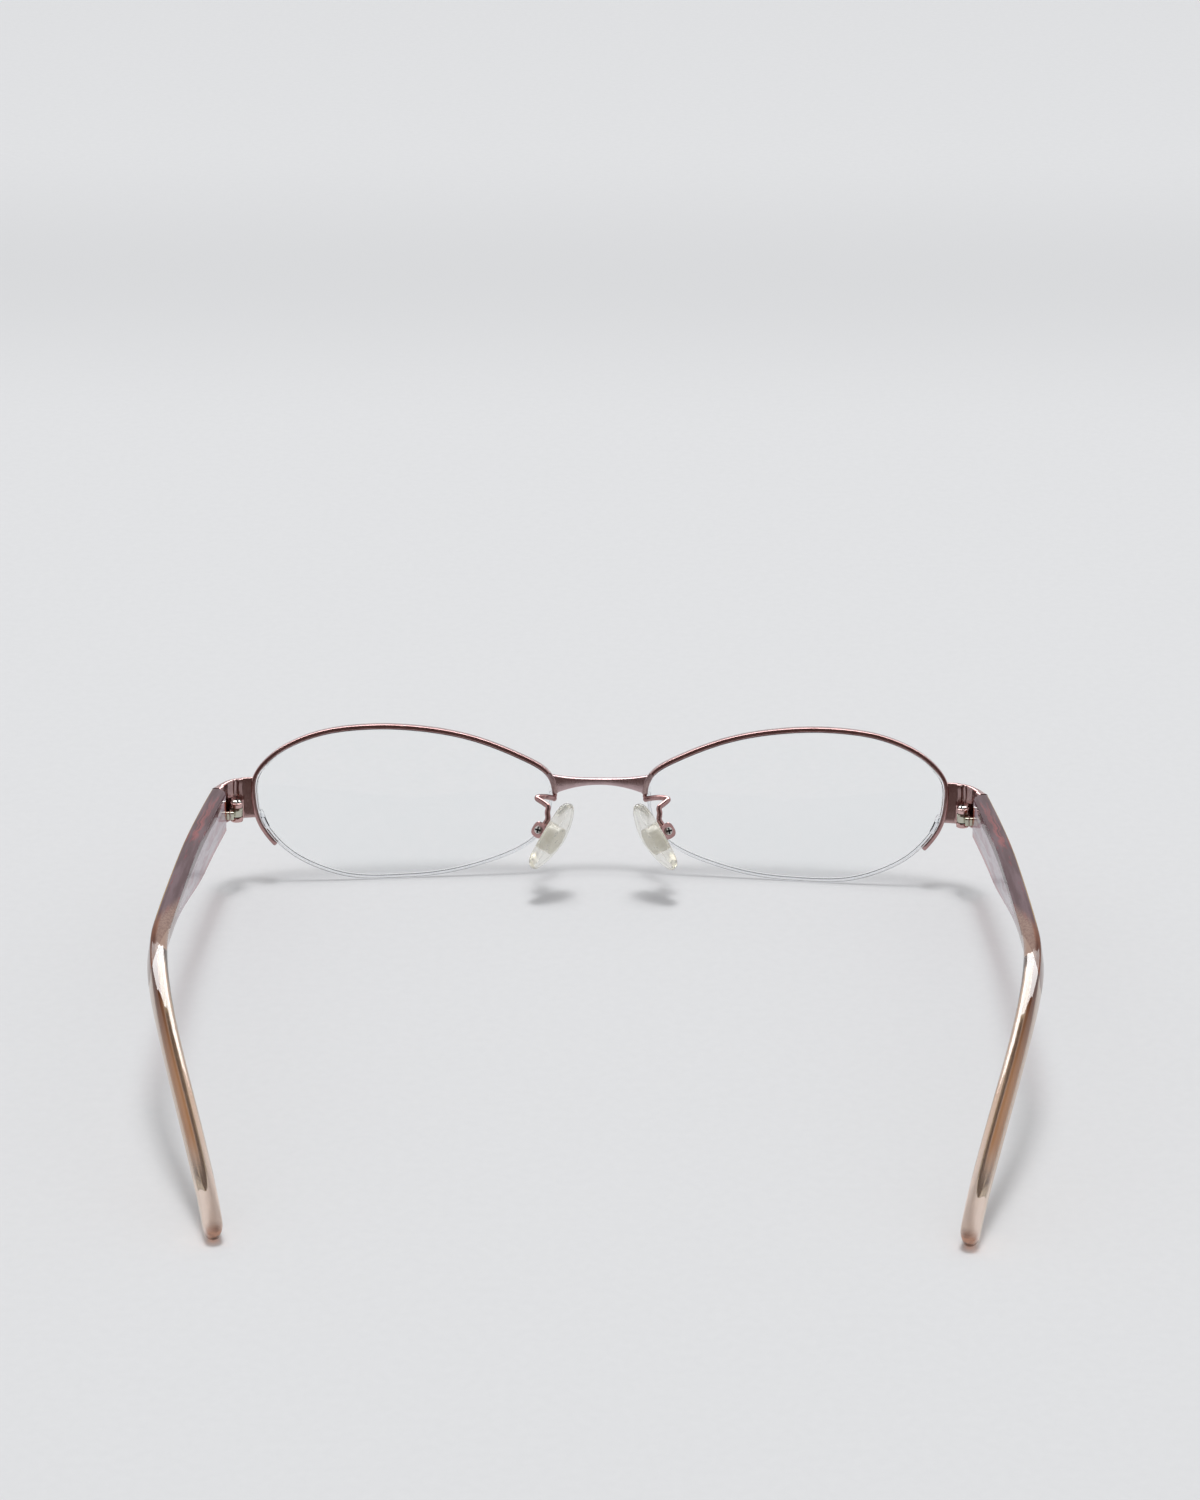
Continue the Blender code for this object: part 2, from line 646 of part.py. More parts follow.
class TempleLine:
    """Places on the temple's middle line, by distance from its front end."""

    def __init__(self, drop):
        self.line = temple_line(drop)
        before = (self.line[1] - self.line[0]).length + (self.line[2] - self.line[1]).length
        self.lengths = [-before]
        for a, b in zip(self.line, self.line[1:]):
            self.lengths.append(self.lengths[-1] + (b - a).length)
        self.total = self.lengths[-1]

    def place(self, s):
        """The point at a distance, with the directions along, outwards and up."""
        i = 0
        while i < len(self.lengths) - 2 and self.lengths[i + 1] < s:
            i += 1
        share = (s - self.lengths[i]) / (self.lengths[i + 1] - self.lengths[i])
        spot = self.line[i].lerp(self.line[i + 1], share)
        low, high = max(i - 1, 0), min(i + 2, len(self.line) - 1)
        along = (self.line[high] - self.line[low]).normalized()
        outward = Vector((0, 0, 1)).cross(along).normalized()
        upward = along.cross(outward)
        turn = TEMPLE_TWIST * smooth_step(s, TEMPLE_WIDE_LENGTH, TEMPLE_TAPER_END)
        turn *= 1 - smooth_step(s, TEMPLE_LENGTH, TEMPLE_LENGTH + BEND_REACH + TIP_REACH)
        twisted_out = outward * math.cos(turn) + upward * math.sin(turn)
        twisted_up = upward * math.cos(turn) - outward * math.sin(turn)
        return spot, twisted_out, twisted_up

    def ring(self, side, s, section, slant=0.0):
        """A section of (outward, up) points at a distance. A slant puts its outer side further back."""
        matrix = hinge_matrix(side)
        points = []
        for out, up in section:
            spot, outward, upward = self.place(s + slant * out / TEMPLE_THICKNESS)
            points.append(matrix @ (spot + outward * out + upward * up))
        return points


def rounded_section(width, height, corner):
    """Twelve points of a rectangle with rounded corners: over the top from inside, back underneath."""
    corner = min(corner, width * 0.49, height * 0.49)
    middles = (
        (-width / 2 + corner, height / 2 - corner, 180), (width / 2 - corner, height / 2 - corner, 90),
        (width / 2 - corner, -height / 2 + corner, 0), (-width / 2 + corner, -height / 2 + corner, 270),
    )
    points = []
    for x, y, angle in middles:
        for turn in (0, 45, 90):
            a = math.radians(angle - turn)
            points.append((x + corner * math.cos(a), y + corner * math.sin(a)))
    return points


def oval_section(width, height, count=8):
    angles = [2 * math.pi * (k + 0.5) / count for k in range(count)]
    return [(width / 2 * math.cos(a), height / 2 * math.sin(a)) for a in angles]


def temple_section(s, total):
    height = temple_height(s)
    rounder = smooth_step(s, TEMPLE_TAPER_END, SCARF_PLACE * 1.3)
    corner = TEMPLE_CORNER + (TIP_CORNER - TEMPLE_CORNER) * rounder
    near_end = max(0, s - (total - TIP_END_ROUND)) / TIP_END_ROUND
    shrink = max(math.sqrt(max(1 - near_end * near_end, 0)), 0.12)
    return rounded_section(TEMPLE_THICKNESS * shrink, height * shrink, corner * shrink)


def slant_at(s):
    """How far the sections lean into the slanted joint between temple and tip."""
    return SCARF_LENGTH * (1 - smooth_step(abs(s - SCARF_PLACE), 0, SCARF_LENGTH * 1.6))


HALF_SCARF_GAP = SCARF_GAP / 2 * math.hypot(SCARF_LENGTH, TEMPLE_THICKNESS) / TEMPLE_THICKNESS


def tip_stations(total):
    start = SCARF_PLACE + HALF_SCARF_GAP
    round_start = total - TIP_END_ROUND
    body = [start + (round_start - start) * k / 16 for k in range(17)]
    return body + [round_start + TIP_END_ROUND * share for share in (0.4, 0.7, 0.9, 1.0)]


def lowest_of_tip(drop):
    path = TempleLine(drop)
    stations = tip_stations(path.total)
    rings = [path.ring(1, s, temple_section(s, path.total), slant_at(s)) for s in stations]
    return min(point.z for ring in rings for point in ring)


def lowest_of_lens():
    half = LENS_THICKNESS / 2
    return min(edge_point(1, i, 0, half).z for i in range(OUTLINE_POINTS))


def settled_line():
    """The temple line whose tip ends level with the lens bottoms, so that the glasses stand on all four."""
    low, high = 0.0, 0.060
    ground = lowest_of_lens()
    for halving in range(24):
        middle = (low + high) / 2
        if lowest_of_tip(middle) > ground:
            low = middle
        else:
            high = middle
    return TempleLine(low)


PATH = settled_line()
LEAF_START = NECK_LENGTH * 0.8
LEAF_END = LEAF_START + TEMPLE_LEAF_LENGTH
CORE_START = LEAF_END + STRIP_END_GAP
CORE_END = PATH.total - CORE_END_MARGIN


def leaf_section(grow):
    half = TEMPLE_LEAF_THICKNESS / 2 + grow
    low = -TEMPLE_FRONT_RISE - MIDDLE_KNUCKLE_HEIGHT / 2 - grow
    high = TEMPLE_LEAF_RISE - TEMPLE_FRONT_RISE + grow
    return ((-half, low), (-half, high), (half, high), (half, low))


def neck_boxes(grow):
    """The two blocks that join the middle knuckle to the leaf inside the temple, in the hinge's frame."""
    half = MIDDLE_KNUCKLE_HEIGHT / 2 - KNUCKLE_GAP / 2 + grow
    inner = BARREL_DIAMETER / 2 - NECK_LENGTH * 0.8
    outer = BARREL_DIAMETER / 2
    front = TEMPLE_FRONT_BACK + NECK_LENGTH * 0.5
    back = front + NECK_LENGTH
    leaf = TEMPLE_INSIDE + TEMPLE_THICKNESS / 2
    inset = half - FACE_STEP
    return (
        ((inner, -back - grow, -half), (outer, -SCREW_CLEARANCE, half)),
        ((inner + FACE_STEP, -back + FACE_STEP - grow, -inset), (leaf, -front + grow, inset)),
    )


def make_hinge_temple(name, side):
    """The middle knuckle, with a leaf that is held in the temple's pocket."""
    place = hinge_matrix(side)
    stations = [LEAF_START + TEMPLE_LEAF_LENGTH * k / 4 for k in range(5)]
    rings = [PATH.ring(side, s, leaf_section(0)) for s in stations]
    thing = mesh_object(f"hinge_temple_{name}", loft(rings), POLISHED_STEEL)
    for number, (low, high) in enumerate(neck_boxes(0)):
        neck = add_box(bmesh.new(), place, low, high)
        cut(thing, mesh_object(f"temple_neck_{number}_{name}", neck, collection=cutters), "UNION")
    half = MIDDLE_KNUCKLE_HEIGHT / 2
    knuckle = add_cylinder(bmesh.new(), place, BARREL_DIAMETER / 2, -half, half)
    cut(thing, mesh_object(f"middle_knuckle_{name}", knuckle, collection=cutters), "UNION")
    return thing


def make_temple(name, side):
    """The mauve front of the temple, with a pocket for the hinge leaf and a channel for the core."""
    end = SCARF_PLACE - HALF_SCARF_GAP
    stations = [end * k / 18 for k in range(19)]
    rings = [PATH.ring(side, s, temple_section(s, PATH.total), slant_at(s)) for s in stations]
    thing = mesh_object(f"temple_{name}", loft(rings, strips=True), MAUVE_ACETATE)

    before = 4 * CUTTER_MARGIN
    pocket_length = LEAF_END + POCKET_CLEARANCE + before
    rings = [
        PATH.ring(side, pocket_length * k / 5 - before, leaf_section(POCKET_CLEARANCE)) for k in range(6)
    ]
    cut(thing, mesh_object(f"leaf_pocket_{name}", loft(rings), collection=cutters))

    place = hinge_matrix(side)
    slope = MITRE_LENGTH / MITRE_WIDTH
    inner = TEMPLE_INSIDE - CUTTER_MARGIN
    outer = TEMPLE_INSIDE + MITRE_WIDTH + CUTTER_MARGIN
    corners = (
        (outer, CUTTER_MARGIN * slope - TEMPLE_FRONT_BACK), (outer, TEMPLE_FRONT_BACK),
        (inner, TEMPLE_FRONT_BACK), (inner, -(MITRE_WIDTH + CUTTER_MARGIN) * slope - TEMPLE_FRONT_BACK),
    )
    rings = [[place @ Vector((x, y, z)) for x, y in corners] for z in (-TEMPLE_HEIGHT, TEMPLE_HEIGHT)]
    cut(thing, mesh_object(f"temple_mitre_{name}", loft(rings), collection=cutters))

    low, high = neck_boxes(POCKET_CLEARANCE)[1]
    slot = add_box(bmesh.new(), place, low, (high[0], CUTTER_MARGIN - TEMPLE_FRONT_BACK, high[2]))
    cut(thing, mesh_object(f"neck_slot_{name}", slot, collection=cutters))
    return thing


def make_tip(name, side):
    """The amber end of the temple, bonded to it by the slanted joint and rounded off at the back."""
    rings = [
        PATH.ring(side, s, temple_section(s, PATH.total), slant_at(s)) for s in tip_stations(PATH.total)
    ]
    return mesh_object(f"temple_tip_{name}", loft(rings, strips=True), AMBER_ACETATE)


def core_rings(side, start, end, grow):
    """Sections of the core, drawn to a point over its last stretch."""
    point_start = end - CORE_POINT_LENGTH
    stations = [start + (point_start - start) * k / 24 for k in range(25)]
    rings = [PATH.ring(side, s, oval_section(CORE_WIDTH + grow, CORE_HEIGHT + grow)) for s in stations]
    for share in (0.5, 0.85, 1.0):
        shrink = 1 - 0.85 * share ** 2
        section = oval_section(CORE_WIDTH * shrink + grow, CORE_HEIGHT * shrink + grow)
        rings.append(PATH.ring(side, point_start + CORE_POINT_LENGTH * share, section))
    return rings


def make_core(name, side):
    shape = loft(core_rings(side, CORE_START, CORE_END, 0))
    return mesh_object(f"temple_core_{name}", shape, POLISHED_STEEL)


def make_core_channel(name, side):
    start = LEAF_END - STRIP_END_GAP
    rings = core_rings(side, start, CORE_END + CORE_CLEARANCE, 2 * CORE_CLEARANCE)
    return mesh_object(f"core_channel_{name}", loft(rings), collection=cutters)


def pad_axes():
    """The right pad's own directions: width (forward), length (upward) and away from the nose."""
    length = Vector((-math.tan(PAD_FLARE), math.tan(PAD_LEAN), 1)).normalized()
    to_nose = Vector((-math.cos(PAD_SPLAY), -math.sin(PAD_SPLAY), 0))
    to_nose = (to_nose - length * to_nose.dot(length)).normalized()
    return to_nose.cross(length), length, -to_nose


def pad_matrix(side):
    """The pad's frame: X is its width, Y its length and Z points away from the nose.

    Both pads stand a little to the wearer's right, because their arms are bent that way.
    """
    width, length, outward = (across(side, axis) for axis in pad_axes())
    place = across(side, (PAD_OUT, -PAD_BACK, PAD_HEIGHT)) + Vector((ARMS_BENT, 0, 0))
    return frame_matrix(place, width, length, outward)


def insert_matrix(side):
    """The pad's frame, moved down to the middle of the insert and the screw."""
    return pad_matrix(side) @ Matrix.Translation((0, -INSERT_DROP, 0))


def oval_ring(place, length, width, z, points=PAD_POINTS):
    angles = [2 * math.pi * (k + 0.5) / points for k in range(points)]
    return [place @ Vector((width / 2 * math.cos(a), length / 2 * math.sin(a), z)) for a in angles]


def pad_ring(place, share, z):
    """The pad's outline at a share of its size: well rounded in front and nearly straight at the back."""
    ring = []
    for k in range(PAD_POINTS):
        a = 2 * math.pi * (k + 0.5) / PAD_POINTS
        x, y = math.cos(a), math.sin(a)
        width, fullness = PAD_FRONT_WIDTH, PAD_FRONT_FULLNESS
        if x < 0:
            width, fullness = PAD_BACK_WIDTH, PAD_BACK_FULLNESS
        out = math.copysign(abs(x) ** (2 / fullness), x) * width
        along = math.copysign(abs(y) ** (2 / fullness), y) * PAD_LENGTH / 2
        ring.append(place @ Vector((out * share - PAD_BEHIND_SCREW, along * share, z)))
    return ring


def make_pad(name, side):
    """A cushion with a domed face for the nose and a shallow recess in its back for the insert."""
    place = pad_matrix(side)
    half = PAD_THICKNESS / 2
    floor = half - INSERT_THICKNESS - INSERT_CLEARANCE
    recess_length = INSERT_LENGTH + 2 * INSERT_CLEARANCE
    recess_width = INSERT_WIDTH + 2 * INSERT_CLEARANCE
    shares = ((0.84, 1), (0.95, 0.65), (1.0, 0), (0.96, -0.45), (0.8, -0.82), (0.45, -1))
    recess = insert_matrix(side)
    rings = [oval_ring(recess, recess_length, recess_width, z) for z in (floor, half)]
    rings += [pad_ring(place, share, half * z) for share, z in shares]
    return mesh_object(f"nose_pad_{name}", loft(rings), PAD_PLASTIC)


BOX_HALF_WIDTH = LUG_THICKNESS / 2 + BOX_CLEARANCE + BOX_WALL
BOX_INSIDE_END = LUG_REACH + LUG_RADIUS + BOX_CLEARANCE
BOX_END = BOX_INSIDE_END + BOX_WEB
# The mouth stays clear of the pad's back when the pad rocks
BOX_MOUTH = PAD_THICKNESS / 2 + BOX_MOUTH_GAP
PAD_SCREW_HOLE = PAD_SCREW_DIAMETER / 2 + SCREW_CLEARANCE


def lug_turn(side):
    """The pad screw's frame: its Z runs along the screw, from the cross recess forward."""
    place = insert_matrix(side) @ Matrix.Translation((0, 0, LUG_REACH))
    return place @ Matrix.Rotation(math.radians(90), 4, "Y")


def make_insert(name, side):
    """The plate in the pad's back and the lug that the pad box holds."""
    place = insert_matrix(side)
    top = PAD_THICKNESS / 2
    low = top - INSERT_THICKNESS
    rings = [oval_ring(place, INSERT_LENGTH, INSERT_WIDTH, z, 16) for z in (low, top)]
    thing = mesh_object(f"pad_insert_{name}", loft(rings), PAD_PLASTIC)
    half = LUG_THICKNESS / 2
    reach = LUG_LENGTH / 2
    root_depth = low + INSERT_THICKNESS / 2
    shank = add_box(bmesh.new(), place, (-half, -reach, root_depth), (half, reach, LUG_REACH))
    cut(thing, mesh_object(f"lug_shank_{name}", shank, collection=cutters), "UNION")
    eye = add_cylinder(bmesh.new(), lug_turn(side), LUG_RADIUS, FACE_STEP - half, half - FACE_STEP, 16)
    cut(thing, mesh_object(f"lug_eye_{name}", eye, collection=cutters), "UNION")
    hole = add_cylinder(bmesh.new(), lug_turn(side), PAD_SCREW_HOLE, -LUG_RADIUS, LUG_RADIUS, 12)
    cut(thing, mesh_object(f"lug_hole_{name}", hole, collection=cutters))
    return thing


def make_box(name, side):
    """The cup that holds the lug, open towards the pad and drilled for the screw."""
    place = insert_matrix(side)
    long_half = BOX_LENGTH / 2
    low = (-BOX_HALF_WIDTH, -long_half, BOX_MOUTH)
    shape = add_box(bmesh.new(), place, low, (BOX_HALF_WIDTH, long_half, BOX_END))
    across_box = place.col[0].xyz.normalized()
    corners = []
    for edge in shape.edges:
        along = (edge.verts[1].co - edge.verts[0].co).normalized()
        if abs(along.dot(across_box)) > 0.9:
            corners.append(edge)
    bmesh.ops.bevel(
        shape, geom=corners, offset=BOX_ROUNDING, segments=3, affect="EDGES", profile=0.5, material=-1,
    )
    thing = mesh_object(f"pad_box_{name}", shape, MAUVE_METAL)
    half = LUG_THICKNESS / 2 + BOX_CLEARANCE
    reach = long_half - BOX_WALL
    slot_start = BOX_MOUTH - CUTTER_MARGIN
    slot = add_box(bmesh.new(), place, (-half, -reach, slot_start), (half, reach, BOX_INSIDE_END))
    cut(thing, mesh_object(f"box_slot_{name}", slot, collection=cutters))
    hole = add_cylinder(bmesh.new(), lug_turn(side), PAD_SCREW_HOLE, -BOX_LENGTH, BOX_LENGTH, 12)
    cut(thing, mesh_object(f"box_hole_{name}", hole, collection=cutters))
    return thing


def make_pad_screw(name, side):
    shank = PAD_SCREW_DIAMETER / 2
    head = PAD_SCREW_HEAD / 2
    seat = -BOX_HALF_WIDTH - SCREW_SEAT_GAP
    profile = (
        (shank * 0.8, BOX_HALF_WIDTH), (shank, BOX_HALF_WIDTH - shank * 0.2), (shank, seat), (head, seat),
        (head, seat - PAD_SCREW_HEAD_HEIGHT * 0.6), (head * 0.75, seat - PAD_SCREW_HEAD_HEIGHT),
    )
    return mesh_object(f"pad_screw_{name}", turned(lug_turn(side), profile, 12), POLISHED_STEEL)


def make_arm(name, side):
    """The wire from the back of the rim's nasal end, out and back in a loop, down to the pad box."""
    behind = -RIM_DEPTH / 2 - ARM_DIAMETER / 2 - BRAZE_GAP
    foot_place = outline_place(RIM_NASAL_END, False)
    foot = edge_point(1, foot_place, RIM_CLEARANCE + RIM_THICKNESS / 2, behind)
    top_end = Vector((0, BOX_LENGTH / 2 + BRAZE_GAP, (BOX_MOUTH + BOX_END) / 2))
    over = Vector((0, BOX_LENGTH / 2 + ARM_DIAMETER, top_end.z))
    bent = Vector((side * ARMS_BENT, 0, 0))
    points = [foot] + [foot + Vector(step) for step in ARM_ROUTE]
    last = len(ARM_ROUTE)
    points = [point + bent * min(i / (last - 2), 1) for i, point in enumerate(points)]
    points += [across(side, insert_matrix(side) @ spot) for spot in (over, top_end)]
    route = even_points(smooth_path(points, 10), 26, closed=False)
    return tube(f"pad_arm_{name}", [across(side, point) for point in route], ARM_DIAMETER, 2, MAUVE_METAL)


def smooth_path(points, steps):
    """Catmull-Rom curve through an open list of points."""
    ends = [points[0] * 2 - points[1]] + points + [points[-1] * 2 - points[-2]]
    curve = []
    for a, b, c, d in zip(ends, ends[1:], ends[2:], ends[3:]):
        for step in range(steps):
            t = step / steps
            curve.append(
                0.5 * (2 * b + (c - a) * t + (2 * a - 5 * b + 4 * c - d) * t * t
                       + (3 * b - a - 3 * c + d) * t ** 3)
            )
    return curve + [points[-1]]


root = new_empty("eyeglasses_origin", (0, 0, 0))
bpy.context.view_layer.update()


def build_side(name, side):
    for thing in (
        make_lens(name, side), make_rim(name, side), make_liner(name, side), make_cord(name, side),
        make_endpiece(name, side), make_hinge_screw(name, side), make_arm(name, side), make_box(name, side),
        make_pad_screw(name, side),
    ):
        ride(thing, root)
    barrel_hole = make_screw_hole(name, side)
    hinge_front = make_hinge_front(name, side)
    cut(hinge_front, barrel_hole)
    ride(hinge_front, root)

    hinge_axis = new_empty(f"temple_{name}_axis", hinge_matrix(side).translation, root)
    pad_axis = new_empty(f"nose_pad_{name}_axis", lug_turn(side).translation, root)
    bpy.context.view_layer.update()
    hinge_temple = make_hinge_temple(name, side)
    cut(hinge_temple, barrel_hole)
    temple = make_temple(name, side)
    tip = make_tip(name, side)
    channel = make_core_channel(name, side)
    cut(temple, channel)
    cut(tip, channel)
    for thing in (hinge_temple, temple, tip, make_core(name, side)):
        ride(thing, hinge_axis)
    for thing in (make_pad(name, side), make_insert(name, side)):
        ride(thing, pad_axis)


ride(make_bridge(), root)
for side_name, side_sign in SIDES:
    build_side(side_name, side_sign)


def whole_box():
    """The lowest and highest corner of all the pieces."""
    bpy.context.view_layer.update()
    graph = bpy.context.evaluated_depsgraph_get()
    corners = []
    for thing in parts.objects:
        if thing.type == "EMPTY":
            continue
        done = thing.evaluated_get(graph)
        shown = done.to_mesh()
        corners += [done.matrix_world @ vertex.co for vertex in shown.vertices]
        done.to_mesh_clear()
    low = Vector(min(point[i] for point in corners) for i in range(3))
    high = Vector(max(point[i] for point in corners) for i in range(3))
    return low, high


lowest, highest = whole_box()
root.location = -Vector(((lowest.x + highest.x) / 2, (lowest.y + highest.y) / 2, lowest.z))
bpy.context.view_layer.update()
print("size (mm):", [round(1000 * value, 2) for value in highest - lowest])
print("origin moved by (mm):", [round(1000 * value, 3) for value in root.location])
for side_name, side_sign in SIDES:
    for joint in (f"temple_{side_name}_axis", f"nose_pad_{side_name}_axis"):
        print(joint, [round(value, 5) for value in bpy.data.objects[joint].matrix_world.translation])
    print("hinge direction", [round(value, 5) for value in hinge_matrix(side_sign).col[2].xyz])
    print("pad screw direction", [round(value, 5) for value in lug_turn(side_sign).col[2].xyz.normalized()])
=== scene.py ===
import math
from bisect import bisect_left

import bmesh
import bpy
from mathutils import Matrix, Vector


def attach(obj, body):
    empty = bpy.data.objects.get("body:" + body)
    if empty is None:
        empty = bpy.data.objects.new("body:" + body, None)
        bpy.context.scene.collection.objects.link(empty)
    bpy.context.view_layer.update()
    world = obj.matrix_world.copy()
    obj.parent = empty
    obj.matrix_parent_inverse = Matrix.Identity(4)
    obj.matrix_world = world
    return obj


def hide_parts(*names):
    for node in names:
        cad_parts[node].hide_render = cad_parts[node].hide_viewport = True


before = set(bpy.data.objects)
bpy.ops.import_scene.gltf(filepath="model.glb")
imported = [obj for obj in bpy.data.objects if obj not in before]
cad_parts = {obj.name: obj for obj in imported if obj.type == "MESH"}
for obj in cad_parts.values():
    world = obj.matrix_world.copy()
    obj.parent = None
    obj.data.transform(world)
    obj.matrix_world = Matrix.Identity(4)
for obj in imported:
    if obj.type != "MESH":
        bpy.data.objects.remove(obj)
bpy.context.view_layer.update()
# each half: how its pieces' names and its nodes' names end, and its side of the middle
halves = (("Left", "left", -1), ("Right", "right", 1))
# the halves are worked out about the middle of the bridge's foot, and this moves them to the row's origin
originShift = Vector((0, 0.059473, 0.000208))
print("frame loaded")


def addObject(name, data):
    thing = bpy.data.objects.new(name, data)
    bpy.context.scene.collection.objects.link(thing)
    return thing


def meshFrom(bm, name, *materials):
    mesh = bpy.data.meshes.new(name)
    bm.to_mesh(mesh)
    bm.free()
    for material in materials:
        mesh.materials.append(material)
    return mesh


# Camera at the photograph's place, solved for a frame 1200 wide and 1500 high
photoCamera = {
    "place": (0.004837, -0.566566, 0.305738), "down": 24.234, "left": 0.4429, "roll": 0.2679,
    "lens": 96.0, "sensor": 36, "clip": (0.01, 20),
}


def makeCamera(values):
    down, left, roll = (math.radians(values[key]) for key in ("down", "left", "roll"))
    ahead = Vector((-math.sin(left) * math.cos(down), math.cos(left) * math.cos(down), -math.sin(down)))
    level = Vector((math.cos(left), math.sin(left), 0))
    upright = level.cross(ahead)
    rightward = level * math.cos(roll) + upright * math.sin(roll)
    upward = upright * math.cos(roll) - level * math.sin(roll)
    data = bpy.data.cameras.new("photoCamera")
    data.lens, data.sensor_width = values["lens"], values["sensor"]
    data.clip_start, data.clip_end = values["clip"]
    camera = addObject("photoCamera", data)
    turn = Matrix((rightward, upward, -ahead)).transposed().to_4x4()
    camera.matrix_world = Matrix.Translation(values["place"]) @ turn
    bpy.context.scene.camera = camera


makeCamera(photoCamera)
print("camera placed")


# Materials

smooth = {"interpolation_type": "SMOOTHSTEP"}
times, minus = {"operation": "MULTIPLY"}, {"operation": "SUBTRACT"}


def linear(hexColour):
    levels = [int(hexColour[i:i + 2], 16) / 255 for i in (1, 3, 5)]
    return tuple(v / 12.92 if v <= 0.04045 else ((v + 0.055) / 1.055) ** 2.4 for v in levels) + (1,)


def setInputs(tree, node, inputs):
    # a node stands for its first live output, and a text for the colour that it writes
    for key, value in inputs.items() if isinstance(inputs, dict) else enumerate(inputs):
        if isinstance(value, bpy.types.Node):
            value = next(socket for socket in value.outputs if socket.enabled)
        if isinstance(value, bpy.types.NodeSocket):
            tree.links.new(value, node.inputs[key])
        else:
            node.inputs[key].default_value = linear(value) if isinstance(value, str) else value


def addNode(tree, kind, inputs=(), **settings):
    node = tree.nodes.new("ShaderNode" + kind)
    for key, value in settings.items():
        setattr(node, key, value)
    setInputs(tree, node, inputs)
    return node


def startMaterial(name):
    material = bpy.data.materials.new(name)
    material.use_nodes = True
    tree = material.node_tree
    return material, tree, tree.nodes["Principled BSDF"]


def product(tree, first, *others):
    for other in others:
        first = addNode(tree, "Math", (first, other), **times)
    return first


def layTones(tree, tone, *layers):
    # lays each further tone over the ones below, by its share
    for share, over in layers:
        tone = addNode(tree, "Mix", {0: share, 6: tone, 7: over}, data_type="RGBA")
    return tone


def speckle(tree, place, size, low=0, high=1):
    # soft spots of a size in metres
    noise = addNode(tree, "TexNoise", {"Vector": place, "Scale": 1 / size, "Detail": 3})
    return addNode(tree, "MapRange", (noise, 0.3, 0.7, low, high))


def layFinish(tree, shader, values):
    # two tones in clouds, a roughness that follows the grain, and a fine relief
    place = addNode(tree, "TexCoord").outputs["Object"]
    setInputs(tree, shader, {
        "Base Color": layTones(tree, values["pale"], (speckle(tree, place, values["cloud"]), values["deep"])),
        "Roughness": speckle(tree, place, values["grain"], *values["roughness"]),
    })
    if "relief" in values:
        size, depth, strength = values["relief"]
        noise = addNode(tree, "TexNoise", {"Vector": place, "Scale": 1 / size, "Detail": 2})
        bump = addNode(tree, "Bump", {"Height": noise, "Strength": strength, "Distance": depth})
        setInputs(tree, shader, {"Normal": bump})


def letLampsThrough(tree, shader, tint, edge, share=None):
    # light from lamps passes a clear piece with a little loss, and with more where it meets it at a slant
    if share is None:
        share = addNode(tree, "LayerWeight", {"Blend": 0.3}).outputs["Facing"]
    clear = addNode(tree, "BsdfTransparent", {"Color": layTones(tree, tint, (share, edge))})
    isShadow = addNode(tree, "LightPath").outputs["Is Shadow Ray"]
    mix = addNode(tree, "MixShader", (isShadow, shader, clear))
    setInputs(tree, tree.nodes["Material Output"], {"Surface": mix})


# Each metal: its two tones, its roughness, its grain in metres and how strong its relief is
metals = {
    # ion-plated monel sheet, polished: a deep mauve mirror that goes dark where the room is dark
    "platedRim": ("#bd9a98", "#a48280", (0.10, 0.16), 0.00030, 0.10),
    # ion-plated monel, bead blasted: the same mauve, but soft, with a fine even grain
    "satinPlate": ("#cbb3b4", "#b89fa1", (0.26, 0.34), 0.00022, 0.35),
    # ion-plated monel plate, bent and half polished: brown-mauve, darker in its corners
    "bentPlate": ("#bda19f", "#a98d8b", (0.17, 0.24), 0.00020, 0.35),
    # ion-plated nickel silver wire, drawn and tumbled: rosy, with soft lights along it
    "platedWire": ("#b99694", "#a07d7b", (0.10, 0.17), 0.00035, 0.10),
    # nickel silver, machined and tumbled: rosy knuckles with a soft shine
    "rosyKnuckle": ("#d9b8b4", "#c49f9c", (0.12, 0.20), 0.00025, 0.15),
    # stainless steel, turned and tumbled: neutral pale screws that take light from all round
    "turnedSteel": ("#e0deda", "#cccac5", (0.16, 0.25), 0.00030, 0.08),
    # nickel silver, stamped and polished: slightly green silver of the hinge leaf and the core wire
    "nickelSilver": ("#c9c8b9", "#b5b3a2", (0.04, 0.08), 0.00040, 0.06),
    # the screws' driver recesses, painted black: painted shade in their slots
    "paintedShadeRecess": ("#2a2726", "#171514", (0.35, 0.55), 0.00020, 0.20),
}


def metalMaterial(name, pale, deep, roughness, grain, relief):
    material, tree, shader = startMaterial(name)
    layFinish(tree, shader, {
        "pale": pale, "deep": deep, "cloud": grain * 8, "grain": grain, "roughness": roughness,
        "relief": (grain / 2, 0.000004, relief),
    })
    setInputs(tree, shader, {"Metallic": 1})
    return material


